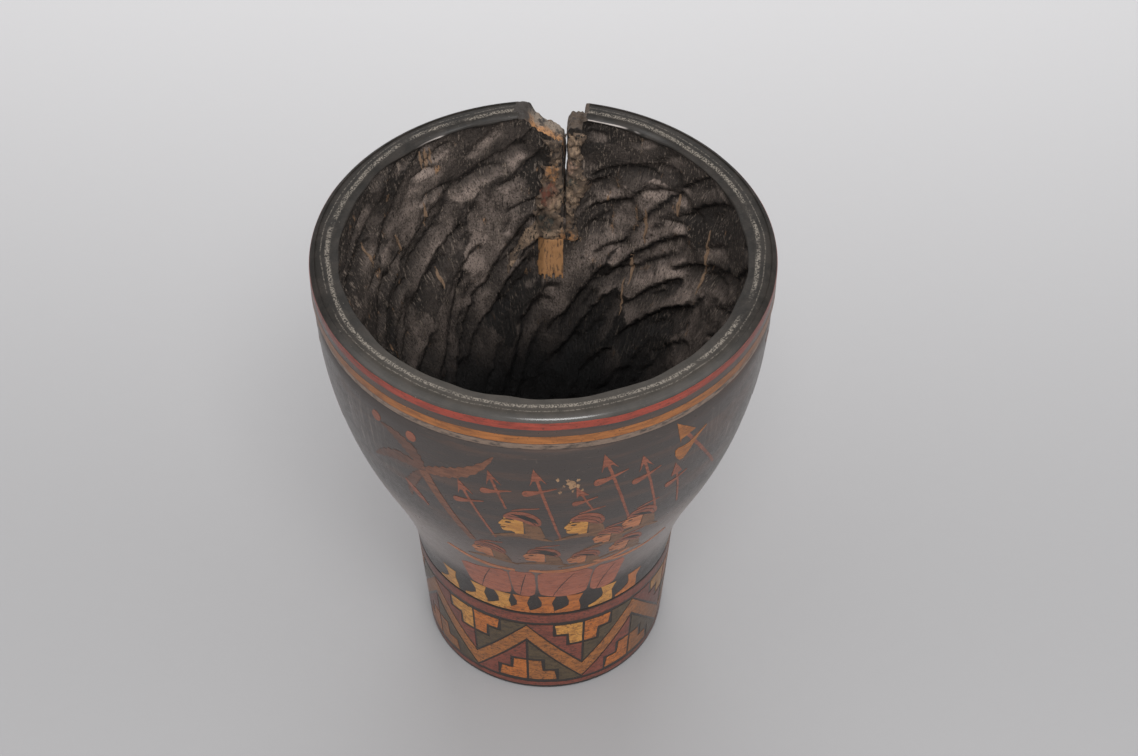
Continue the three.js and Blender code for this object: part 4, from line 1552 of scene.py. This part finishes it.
@dataclass(frozen=True)
class Spear:
    """A spear of the procession: where its tip and foot lie round and up the cup."""

    tip: Point
    foot: Point
    size: float = 1.0
    tilt: float = 9.0
    axe: float = 1.3
    neck: float = 5.0
    crossing: float = 12.5

    def shapes(self, wall: WornWall) -> list[Shape]:
        """The shaft, the barbed head and the crossbar with its axe blade."""
        middle = (self.tip[0] + self.foot[0]) / 2
        radius = float(wall.section.wall((self.tip[1] + self.foot[1]) / 2))
        tip = Vector((math.radians(self.tip[0] - middle) * radius, self.tip[1]))
        foot = Vector((math.radians(self.foot[0] - middle) * radius, self.foot[1]))
        along = (tip - foot).normalized()
        aside = Vector((-along.y, along.x))
        bar = Vector((math.cos(math.radians(self.tilt)), math.sin(math.radians(self.tilt))))
        rise = Vector((-bar.y, bar.x))
        neck = tip - along * self.neck * self.size
        centre = tip - along * self.crossing * self.size
        shaft = stroke([tuple(foot), tuple(neck)], [0.8 * self.size, 1.1 * self.size])
        barbs = [(0, 0), (-8.6, 3.0), (-5.2, 0.9), (-5.2, -0.8), (-8.8, -2.8)]
        head = [tuple(tip + (along * back + aside * out) * self.size) for back, out in barbs]
        blade = [
            (7.0, 0.9), (1.0, 0.6), (-2.4, 0.5), (-5.6, self.axe), (-6.8, -0.4 * self.axe),
            (-5.8, -1.8 * self.axe), (-2.6, -1.2 * self.axe), (1.0, -0.5),
        ]
        axe = [tuple(centre + (bar * out + rise * up) * self.size) for out, up in blade]
        flat = [(shaft, 0.07), (head, 0.10), (rounded(axe, 1), 0.13)]
        return [Shape(wall.around(outline, middle), lift) for outline, lift in flat]


@dataclass(frozen=True)
class Head:
    """A capped head in profile, in plain flat shapes: face, cap, hair and eye."""

    angle: float
    height: float
    size: float = 1.0

    def placed(self, wall: WornWall, outline: Outline, lift: float, soft: int = 1) -> Shape:
        """One of its outlines, scaled and set on the wall."""
        scaled = [(x * self.size, y * self.size) for x, y in rounded(outline, soft)]
        return Shape(wall.around(scaled, self.angle, self.height), lift)

    def face(self, wall: WornWall) -> Shape:
        """The face and neck."""
        outline = [
            (-4.6, 4.4), (-5.6, 1.8), (-7.3, -1.2), (-5.8, -1.7), (-6.5, -2.7), (-5.7, -3.2), (-6.2, -4.0),
            (-5.2, -5.8), (-1.8, -5.4), (-1.2, -8.4), (1.4, -8.4), (1.6, -3.0), (1.6, 2.4), (-1.0, 4.6),
        ]
        return self.placed(wall, outline, 0.08)

    def cap(self, wall: WornWall) -> list[Shape]:
        """The cap and the quill stuck in it."""
        dome = [
            (-5.4, 3.4), (-4.6, 6.0), (-1.6, 8.0), (2.6, 8.0), (6.0, 6.0), (7.8, 2.6), (7.6, -0.6),
            (5.4, -1.2), (3.0, 0.8), (0.0, 2.6),
        ]
        quill = stroke([(-2.0, 8.6), (2.0, 9.9), (7.4, 10.8)], [0.4, 0.9, 0.3])
        return [self.placed(wall, dome, 0.11), self.placed(wall, quill, 0.09, 0)]

    def hair(self, wall: WornWall) -> Shape:
        """The long hair behind the neck."""
        outline = [
            (1.8, 1.8), (4.8, 0.0), (7.2, -1.4), (8.0, -5.4), (9.0, -10.2), (4.4, -10.8), (2.2, -8.6),
            (1.9, -3.0),
        ]
        return self.placed(wall, outline, 0.095)

    def lines(self, wall: WornWall) -> list[Shape]:
        """The eye, the brow, the mouth and the cap's stripes."""
        eye = [(-5.0, 0.6), (-3.8, 1.3), (-2.2, 0.8), (-3.6, 0.1)]
        strokes = [
            stroke([(-5.4, 2.3), (-3.6, 2.9), (-1.4, 2.4)], [0.5, 0.7, 0.3]),
            stroke([(-6.0, -3.1), (-4.6, -3.0)], [0.5, 0.3]),
            stroke([(-3.6, 4.9), (0.6, 4.4), (4.4, 2.0), (5.8, -0.4)], [0.2, 0.3, 0.3, 0.2]),
            stroke([(-2.4, 6.4), (2.0, 6.0), (5.6, 3.6), (6.7, 0.6)], [0.2, 0.3, 0.3, 0.2]),
        ]
        marks = [self.placed(wall, eye, 0.13)]
        return marks + [self.placed(wall, outline, 0.14, 0) for outline in strokes]

    def shoulder(self, wall: WornWall) -> Shape:
        """The line of the shoulders under the head."""
        path = [(-10.0, -11.0), (-4.0, -8.8), (1.0, -8.2), (5.0, -9.4), (11.0, -12.8)]
        return self.placed(wall, stroke(path, [0.6, 2.4, 3.0, 2.6, 0.7]), 0.10)


@dataclass(frozen=True)
class Procession:
    """The frieze of the flared wall: cloaked walkers with spears beside a palm, three times round."""

    setter: InlaySetter
    groups: int = 3
    cloaks: tuple[Point, ...] = ((-22.0, 19.0), (-7.5, 9.4), (8.0, 20.0), (24.5, 12.0))
    heads: tuple[Head, ...] = (
        Head(-16.5, 112.0, 0.92),
        Head(-6, 139.0, 1.06),
        Head(-0.5, 111.5, 0.95),
        Head(11, 137.0, 1.0),
    )
    far_heads: tuple[Head, ...] = (
        Head(18.5, 124.0, 0.80),
        Head(27, 131.0, 0.95),
        Head(12.5, 106.5, 0.85),
        Head(25.5, 111.0, 0.9),
    )
    spears: tuple[Spear, ...] = (
        Spear((-21, 162), (-13, 126)),
        Spear((-2, 174), (5, 126), 1.05),
        Spear((15, 179), (24, 131), 1.1, 14),
    )
    far_spears: tuple[Spear, ...] = (
        Spear((-13, 171), (-9, 149), 0.95, 4),
        Spear((8.5, 163), (13, 147), 0.8, 12),
        Spear((25, 173), (32, 131), 1.0, 16),
        Spear((35, 160), (39.5, 130), 0.85, 20),
    )
    large_spear: Spear = Spear((34, 182.5), (51, 141), 1.3, 24, 2.6)
    swags: tuple[tuple[tuple[Point, ...], float], ...] = (
        (((-32, 102), (-24, 93), (-16, 93.5), (-9.5, 93)), 3.0),
        (((-4.5, 94), (4, 91.5), (16, 92.5), (29, 102)), 3.2),
        (((17, 100), (25, 92), (36, 94), (44, 101)), 2.4),
    )
    swag_radius: float = 58.0
    swag_steps: int = 14
    fold_radius: float = 53.0
    fold_widths: tuple[float, ...] = (0.22, 0.38, 0.22)
    pale_boots: tuple[float, ...] = (-43, -28, -17, 28)
    dark_boots: tuple[float, ...] = (-9, 1.5, 13, 41)
    boot_height: float = 59.9
    hem: float = 67.0
    shoulders: float = 92.0
    slope: float = 0.3
    palm: float = -26.0
    crown: Point = (-6.5, 159.0)
    teeth: int = 9
    fruits: tuple[Point, ...] = ((-44, 176), (-33, 176))

    def cloak(self, angle: float, spread: float) -> list[Shape]:
        """A cloak with a sagging hem."""
        half = spread / 2
        top = self.shoulders - max(0.0, -self.slope * (angle - half + 12))
        outline = [
            (angle - half + 0.2, top + 0.6),
            (angle - half, self.hem + 12),
            (angle - half + 0.4, self.hem + 3.4),
            (angle - half + 1.6, self.hem + 1.2),
            (angle, self.hem - 0.6),
            (angle + half - 1.6, self.hem + 0.8),
            (angle + half - 0.3, self.hem + 3.0),
            (angle + half, self.hem + 12),
            (angle + half - 0.2, self.shoulders + 0.2),
            (angle, (self.shoulders + top) / 2 - 1.2),
        ]
        return [Shape(rounded(outline, 1))]

    def fold(self, angle: float, spread: float) -> Shape:
        """The dark line drawn on a cloak."""
        path = [
            (angle - 0.20 * spread, self.hem + 0.5),
            (angle - 0.06 * spread, self.hem + 10),
            (angle + 0.16 * spread, self.hem + 22),
        ]
        flat = [(math.radians(a - angle) * self.fold_radius, h) for a, h in path]
        line = stroke(flat, self.fold_widths)
        return Shape([(angle + math.degrees(x / self.fold_radius), h) for x, h in line], 0.13)

    def swag(self, path: Sequence[Point], width: float) -> Shape:
        """A bright hem that sags along its path."""
        points = curve(list(path), self.swag_steps)
        flat = [(math.radians(angle) * self.swag_radius, height) for angle, height in points]
        shares = [step / (self.swag_steps - 1) for step in range(self.swag_steps)]
        line = stroke(flat, [width * (0.6 + 0.4 * math.sin(math.pi * share)) for share in shares])
        return Shape([(math.degrees(x / self.swag_radius), height) for x, height in line], 0.12)

    def boot(self, angle: float) -> Shape:
        """A leg in a boot, its toe to the left."""
        outline = [
            (-3.4, 6.9), (3.3, 6.6), (1.9, 1.2), (2.7, -3.2), (2.7, -6.1), (-2.6, -6.2), (-7.4, -6.1),
            (-7.6, -5.0), (-4.6, -3.6), (-2.1, -1.2), (-2.0, 1.8),
        ]
        return Shape(self.setter.wall.around(outline, angle, self.boot_height))

    def feather(self, path: Outline, width: float, teeth: int) -> Shape:
        """A palm frond: a bent stroke with a toothed edge, drawn about the palm's own middle."""
        points = curve(path, 2 * teeth + 1)
        widths = []
        for number in range(len(points)):
            share = number / (len(points) - 1)
            tooth = 1.0 if number % 2 else 0.72
            widths.append(max(0.5, width * tooth * math.sin(math.pi * (0.12 + 0.86 * share)) ** 0.8))
        return Shape(self.setter.wall.around(stroke(points, widths), self.palm), 0.08)

    def fronds(self) -> list[Shape]:
        """The palm's fronds, spread from its crown."""
        fronds = (
            (6.2, [(0.0, 164.0), (12.0, 163.0), (21.0, 178.5)]),
            (6.5, [(-9.0, 168.0), (-14.0, 173.0), (-24.0, 174.0)]),
            (6.0, [(-14.0, 163.0), (-22.0, 160.0), (-30.0, 150.0)]),
            (4.5, [(-11.0, 152.0), (-15.0, 146.0), (-15.0, 136.0)]),
        )
        return [self.feather([self.crown, *path], width, self.teeth) for width, path in fronds]

    def trunk(self) -> Shape:
        """The palm's leaning trunk."""
        path = curve([(7.5, 119.0), (3.0, 134.0), (-2.5, 147.0), self.crown], 10)
        outline = stroke(path, [2.6 + 0.16 * step for step in range(len(path))])
        return Shape(self.setter.wall.around(outline, self.palm), 0.10)

    def fruit(self) -> list[Shape]:
        """Round fruit among the fronds and a hanging bract."""
        disc = [(2.2 * math.cos(turn), 2.6 * math.sin(turn)) for turn in np.linspace(0, math.tau, 13)[:-1]]
        hanging = curve([(-9.0, 147.0), (-5.0, 141.0), (-1.0, 135.0)], 7)
        bract = stroke(hanging, [0.6, 1.8, 2.6, 2.8, 2.4, 1.4, 0.5])
        wall = self.setter.wall
        discs = [Shape(wall.around(disc, angle, height)) for angle, height in self.fruits]
        return discs + [Shape(wall.around(bract, self.palm - 5))]

    def chips(self) -> list[Shape]:
        """Flakes of lacquer lost near a spear's tip."""
        dice = random.Random(5)
        flakes = []
        spots = (
            (7.3, 164.5, 1.7), (8.9, 163.6, 1.0), (6.4, 167.2, 0.8), (9.0, 167.0, 0.7), (4.0, 168.0, 0.9),
            (4.6, 160.5, 0.7), (10.2, 161.0, 0.6), (5.4, 164.0, 0.5), (7.6, 160.8, 0.6),
        )
        for angle, height, size in spots:
            reach = [size * dice.uniform(0.45, 1.25) for _ in range(11)]
            turns = [math.tau * step / len(reach) for step in range(len(reach))]
            outline = [(r * math.cos(turn), 1.3 * r * math.sin(turn)) for r, turn in zip(reach, turns)]
            flakes.append(Shape(self.setter.wall.around(outline, angle, height), 0.04))
        return flakes

    def lay(self, group: int, name: str, shapes: Iterable[Shape], colour: Resin, node: str = "") -> None:
        """Sets shapes of one colour at a group's place round the cup.

        Args:
            group: the group's number, from 1.
            name: the piece's name.
            shapes: its shapes, as they lie in the first group.
            colour: its resin.
            node: the CAD node that it replaces, if any.
        """
        turn = 360 / self.groups * (group - 1)
        turned = [Shape([(a + turn, h) for a, h in shape.outline], shape.lift) for shape in shapes]
        self.setter.set(name, turned, colour, [node] if node else [])

    def lay_cloaks(self, group: int) -> None:
        """Sets a group's cloaks, their folds and hems, and the boots under them."""
        for number, cloak in enumerate(self.cloaks, 1):
            node = f"cloak_{group}_{number}"
            self.lay(group, f"{node}_cloth", self.cloak(*cloak), Resin.CLOAK, node)
        self.lay(group, f"cloak_folds_{group}", [self.fold(*cloak) for cloak in self.cloaks], Resin.INK)
        self.lay(group, f"swags_{group}", [self.swag(*swag) for swag in self.swags], Resin.FLESH)
        self.lay(group, f"pale_boots_{group}", map(self.boot, self.pale_boots), Resin.YELLOW)
        self.lay(group, f"dark_boots_{group}", map(self.boot, self.dark_boots), Resin.ORANGE)

    def lay_heads(self, group: int) -> None:
        """Sets a group's heads, the near ones' faces each as a piece of its own."""
        wall = self.setter.wall
        everyone = self.heads + self.far_heads
        for number, head in enumerate(self.heads, 1):
            node = f"head_{group}_{number}"
            bright = Resin.YELLOW if number % 2 == 0 else Resin.FLESH
            self.lay(group, f"{node}_face", [head.face(wall)], bright, node)
        self.lay(group, f"far_faces_{group}", [head.face(wall) for head in self.far_heads], Resin.FLESH)
        caps = [shape for head in everyone for shape in head.cap(wall)]
        self.lay(group, f"caps_{group}", caps, Resin.RUST)
        self.lay(group, f"hair_{group}", [head.hair(wall) for head in everyone], Resin.HAIR)
        self.lay(group, f"shoulders_{group}", [head.shoulder(wall) for head in everyone], Resin.HAIR)
        lines = [shape for head in everyone for shape in head.lines(wall)]
        self.lay(group, f"face_lines_{group}", lines, Resin.INK)

    def lay_spears(self, group: int) -> None:
        """Sets a group's spears, and the large one at its end in two colours."""
        wall = self.setter.wall
        for number, spear in enumerate(self.spears, 1):
            node = f"spear_{group}_{number}"
            self.lay(group, f"{node}_inlay", spear.shapes(wall), Resin.RUST, node)
        far = [shape for spear in self.far_spears for shape in spear.shapes(wall)]
        self.lay(group, f"far_spears_{group}", far, Resin.RUST)
        shaft, point, axe = self.large_spear.shapes(wall)
        self.lay(group, f"large_shaft_{group}", [shaft], Resin.RUST)
        self.lay(group, f"large_point_{group}", [point], Resin.OCHRE)
        self.lay(group, f"large_axe_{group}", [axe], Resin.OCHRE)

    def lay_palm(self, group: int) -> None:
        """Sets a group's palm, its nearest frond less faded than the others."""
        near, *faded = self.fronds()
        self.lay(group, f"palm_{group}_trunk", [self.trunk()], Resin.FROND, f"palm_{group}")
        self.lay(group, f"palm_{group}_frond", [near], Resin.FROND)
        self.lay(group, f"palm_{group}_fronds", faded, Resin.FADED)
        self.lay(group, f"palm_{group}_fruit", self.fruit(), Resin.RUST)

    def build(self) -> None:
        """Sets every inlay of the groups, and the lost flakes of lacquer."""
        for group in range(1, self.groups + 1):
            self.lay_cloaks(group)
            self.lay_heads(group)
            self.lay_spears(group)
            self.lay_palm(group)
        self.setter.set("chipped_lacquer", self.chips(), Resin.BARE)


@dataclass(frozen=True)
class CrackRepair:
    """What clings round the crack inside the cup: crusty filler, a bare splinter and a streak."""

    section: Section
    bore: CarvedBore
    split: Split
    pitch: float = 0.55
    sunk: float = 1.6
    low: float = 118.0
    high: float = 193.0
    reach: float = 20.0
    crust_foot: float = 139.0
    crust_tops: tuple[float, float] = (187.0, 191.5)
    splinter_middle: float = 1.9
    splinter_half: float = 5.3
    splinter_foot: float = 122.5
    splinter_top: float = 140.3
    streak_span: tuple[float, float] = (-15.5, -1.0)
    streak_top: float = 142.5
    soft_edge: float = 1.2

    @property
    def crack(self) -> float:
        """How far to the right of the middle the crack runs down the bore."""
        return float(self.section.bore(self.section.ledge)) * math.sin(math.radians(self.split.angle))

    def crust_cover(self, across: np.ndarray, height: np.ndarray, ragged: np.ndarray) -> np.ndarray:
        """How far inside the filler's edge each place lies, in millimetres."""
        aside = across - self.crack
        left = np.where(height > 174, 6.5, 10.5) + 1.5 * np.cos(height / 6)
        right = np.where(height > 160, 8.0, 6.0) + 1.5 * np.sin(height / 5)
        ends = np.minimum(np.where(aside < 0, *self.crust_tops) - height, height - self.crust_foot)
        inside = np.minimum(np.where(aside < 0, left, right) - np.abs(aside), ends)
        gap = np.abs(aside) - np.clip((height - 160) / 16, 0, 1)
        hole = np.hypot((aside + 0.4) / 0.8, (height - 153) / 3.4) - 1
        return np.minimum(np.minimum(inside + 2.2 * ragged, gap + 0.2 * ragged), 1.5 * hole)

    def splinter_cover(self, across: np.ndarray, height: np.ndarray, ragged: np.ndarray) -> np.ndarray:
        """How far inside the bare splinter's edge each place lies."""
        fringe = np.sin(2.6 * across) + np.sin(4.3 * across + 1)
        sides = self.splinter_half - np.abs(across - self.splinter_middle) + 0.4 * ragged
        ends = np.minimum(self.splinter_top - height, height - self.splinter_foot - 0.9 * fringe)
        return np.minimum(sides, ends)

    def streak_cover(self, across: np.ndarray, height: np.ndarray, ragged: np.ndarray) -> np.ndarray:
        """How far inside the streak of filler that ran to the left each place lies."""
        share = np.clip((-2 - across) / 13, -0.1, 1.05)
        middle = self.streak_top - 5 * share - 12 * share**2
        left, right = self.streak_span
        along = (across < right) & (across > left)
        return np.where(along, 4.4 - 1.8 * share - np.abs(height - middle), -1.0) + 1.6 * ragged

    def patch(
        self,
        name: str,
        cover: Callable[[np.ndarray, np.ndarray, np.ndarray], np.ndarray],
        thick: float,
        lumps: float,
        finish: bpy.types.Material,
        slot: str,
        stands_for: Iterable[str] = (),
    ) -> None:
        """Lays a lumpy patch on the carved bore, wherever its cover is positive.

        Args:
            name: the piece's name.
            cover: gives how far inside the patch's edge a place lies.
            thick: how far the patch stands off the wood.
            lumps: how uneven it is.
            finish: its material.
            slot: its record slot.
            stands_for: the CAD nodes that it replaces.
        """
        shape = bmesh.new()
        tall = self.high - self.low
        segments = (round(2 * self.reach / self.pitch), round(tall / self.pitch))
        bmesh.ops.create_grid(shape, x_segments=segments[0], y_segments=segments[1], size=1.0)
        across = np.array([vert.co.x for vert in shape.verts]) * self.reach
        height = (np.array([vert.co.y for vert in shape.verts]) + 1) / 2 * tall + self.low
        ragged = np.array([noise.noise(Vector((x * 0.45, z * 0.4, 2.0))) for x, z in zip(across, height)])
        spots = [Vector((x * 0.42, z * 0.28, 7.0)) for x, z in zip(across, height)]
        lump = np.array([noise.fractal(spot, 0.9, 2.0, 5) for spot in spots])
        inside = cover(across, height, ragged)
        angle = 180 - np.degrees(np.arcsin(across / self.section.bore(height)))
        wood = self.bore.radius(angle, height)
        edge = np.clip(inside / self.soft_edge, 0, 1)
        surface = wood + 0.15 - edge * np.maximum(0.1, thick + lumps * lump)
        turn = np.radians(angle)
        shape.verts.index_update()
        outside = [face for face in shape.faces if any(inside[vert.index] < 0 for vert in face.verts)]
        back = {}
        for number, vert in enumerate(shape.verts):
            out = Vector((math.sin(turn[number]), -math.cos(turn[number]), 0))
            vert.co = out * surface[number] + Vector((0, 0, height[number]))
            back[vert] = out * (wood[number] + self.sunk)
        bmesh.ops.delete(shape, geom=outside, context="FACES")
        kept = {tuple(vert.co): back[vert] for vert in shape.verts}
        made = bmesh.ops.extrude_face_region(shape, geom=shape.faces[:])["geom"]
        for vert in (item for item in made if isinstance(item, bmesh.types.BMVert)):
            deep = kept[tuple(vert.co)]
            vert.co.x = deep.x
            vert.co.y = deep.y
        bmesh.ops.recalc_face_normals(shape, faces=shape.faces[:])
        finish_piece(name, shape, [finish], slot, stands_for, 60.0)

    def build(self) -> None:
        """Lays the filler, the splinter and the streak."""
        crust = Crust().material()
        self.patch("filler_crust", self.crust_cover, 1.2, 1.1, crust, "filler", ["crack_filler"])
        self.patch("filler_streak", self.streak_cover, 0.8, 0.6, crust, "filler")
        self.patch("bare_splinter", self.splinter_cover, 0.7, 0.2, BareSplinter().material(), "filler")


@dataclass(frozen=True)
class TornSlivers:
    """Pale slivers that the gouge tore half loose from the bore: angle, height, length and width of each."""

    bore: CarvedBore
    slivers: tuple[tuple[float, float, float, float], ...] = (
        (-144.6, 189.5, 8.0, 1.3),
        (-143.2, 188.5, 11.0, 1.5),
        (-141.4, 189.5, 9.0, 1.2),
        (-141.2, 162.5, 14.0, 1.6),
        (-142.9, 131.1, 8.0, 1.5),
        (-117.0, 163.0, 12.0, 1.1),
        (-129.5, 157.5, 10.0, 1.0),
        (137.3, 169.9, 11.0, 1.9),
        (147.9, 152.9, 15.0, 1.3),
        (122.1, 161.2, 20.0, 1.3),
        (124.5, 144.1, 12.0, 1.2),
        (151.2, 131.2, 13.0, 1.3),
        (152.3, 118.4, 14.0, 1.0),
    )
    swing: float = -0.04
    lift: float = 0.3
    sunk: float = 1.2
    widths: tuple[float, ...] = (0.15, 0.6, 1.0, 0.9, 0.7, 0.2)
    wood: BareSplinter = BareSplinter((0.25, 0.16, 0.10), (0.06, 0.042, 0.03))

    def build(self) -> None:
        """Lays the slivers on the carved wall as one piece."""
        setter = InlaySetter(
            self.bore, -self.sunk, cut_step=0.8, tremor=0.7, grid_angle=1.2, grid_height=1.3
        )
        shapes = []
        for angle, height, length, width in self.slivers:
            radius = float(self.bore.section.bore(height))
            sway = self.swing * length
            path = curve([(-sway, -length / 2), (sway / 2, 0.0), (sway, length / 2)], len(self.widths))
            outline = stroke(path, [width * share for share in self.widths])
            wrapped = [(angle - math.degrees(across / radius), height + up) for across, up in outline]
            shapes.append(Shape(wrapped, -self.lift))
        finish_piece("torn_slivers", setter.plates(shapes), [self.wood.material()], "wood")


@dataclass(frozen=True)
class Lamp:
    """A soft square lamp that faces a point, in metres and watts."""

    name: str
    place: Place
    aim: Place
    size: float
    watts: float

    def build(self) -> None:
        """Adds the lamp."""
        light = bpy.data.lights.new(self.name, "AREA")
        light.size = self.size
        light.energy = self.watts
        lamp = linked(self.name, light)
        lamp.location = self.place
        lamp.rotation_euler = (Vector(self.aim) - Vector(self.place)).to_track_quat("-Z", "Y").to_euler()


@dataclass(frozen=True)
class Studio:
    """A pale floor with painted light falloff, soft lights and the camera at the photograph's place."""

    sensor: float = 36.0
    focal_pixels: float = 2400.0
    image_width: float = 1138.0
    elevation: float = 46.46
    distance: float = 912.3
    aim: Place = (9.44, 0.0, 132.2)
    roll: float = 0.005
    paper_near_darker: Colour = (0.36, 0.356, 0.36)
    paper_far_lit: Colour = (0.56, 0.555, 0.56)
    paper_light_fade: tuple[float, float] = (-50.0, 550.0)
    paper_half: float = 6.0
    sky: Colour = (0.80, 0.80, 0.81)
    sky_strength: float = 0.9
    lamps: tuple[Lamp, ...] = (
        Lamp("key", (0.1, -0.65, 1.15), (0.0, 0.0, 0.15), 0.4, 6.5),
        Lamp("left", (-1.1, -0.3, 0.8), (0.0, 0.0, 0.1), 1.0, 1.2),
        Lamp("right", (1.1, -0.3, 0.8), (0.0, 0.0, 0.1), 1.0, 1.2),
        Lamp("front", (0.0, -1.3, 0.6), (0.0, 0.0, 0.1), 1.3, 2.2),
        Lamp("back", (0.0, 1.0, 0.9), (0.0, 0.4, 0.0), 0.8, 6.0),
    )

    def camera(self) -> None:
        """Adds the camera."""
        lens = bpy.data.cameras.new("camera")
        lens.sensor_width = self.sensor
        lens.lens = self.sensor * self.focal_pixels / self.image_width
        camera = linked("camera", lens)
        tilt = math.radians(self.elevation)
        back = Vector((0, -math.cos(tilt), math.sin(tilt)))
        camera.location = (Vector(self.aim) + back * self.distance) * MM
        turned = (-back).to_track_quat("-Z", "Y").to_euler()
        turned.rotate_axis("Z", self.roll)
        camera.rotation_euler = turned
        bpy.context.scene.camera = camera

    def floor(self) -> None:
        """Adds the pale floor, lighter towards the back as painted light falloff."""
        shape = bmesh.new()
        bmesh.ops.create_grid(shape, x_segments=4, y_segments=4, size=self.paper_half)
        mesh = mesh_of("floor", shape)
        shader = Shader("floor_paper")
        # Painted light: the paper darker near the camera and lighter towards the back.
        far = shader.between(shader.along(1), *self.paper_light_fade)
        colour = shader.mix(far, self.paper_near_darker, self.paper_far_lit)
        roughness = shader.spread(shader.grain(9.0), 0.7, 0.85)
        mesh.materials.append(shader.finish(colour, roughness, shader.grain(3.0), 0.05))
        floor = linked("floor", mesh)

    def build(self) -> None:
        """Adds floor, world, lamps and camera."""
        scene = bpy.context.scene
        scene.view_settings.view_transform = "Standard"
        world = bpy.data.worlds.new("studio")
        world.use_nodes = True
        sky = world.node_tree.nodes["Background"].inputs
        sky["Color"].default_value = (*self.sky, 1.0)
        sky["Strength"].default_value = self.sky_strength
        scene.world = world
        self.floor()
        for lamp in self.lamps:
            lamp.build()
        self.camera()


def main() -> None:
    """Builds the cup, its inlays and the studio."""
    logging.basicConfig(level=logging.INFO, format="%(name)s %(message)s")
    noise.seed_set(NOISE_SEED)
    section = Section.from_frame()
    wall = WornWall(section)
    setter = InlaySetter(wall)
    bore = CarvedBore(section)
    cup = CupBody(section, wall, bore).build()
    rings = Rings(section, wall).build()
    split = Split(section)
    cutter = split.cutter(BrokenWood().material())
    for piece in (cup, rings["rim_red_ring"], rings["rim_ochre_ring"]):
        split.cut(piece, cutter)
    bpy.data.objects.remove(cutter)
    CrackRepair(section, bore, split).build()
    TornSlivers(bore).build()
    FootBand(section, setter).build()
    Procession(setter).build()
    Studio().build()
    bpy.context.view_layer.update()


if __name__ == "__main__":
    main()
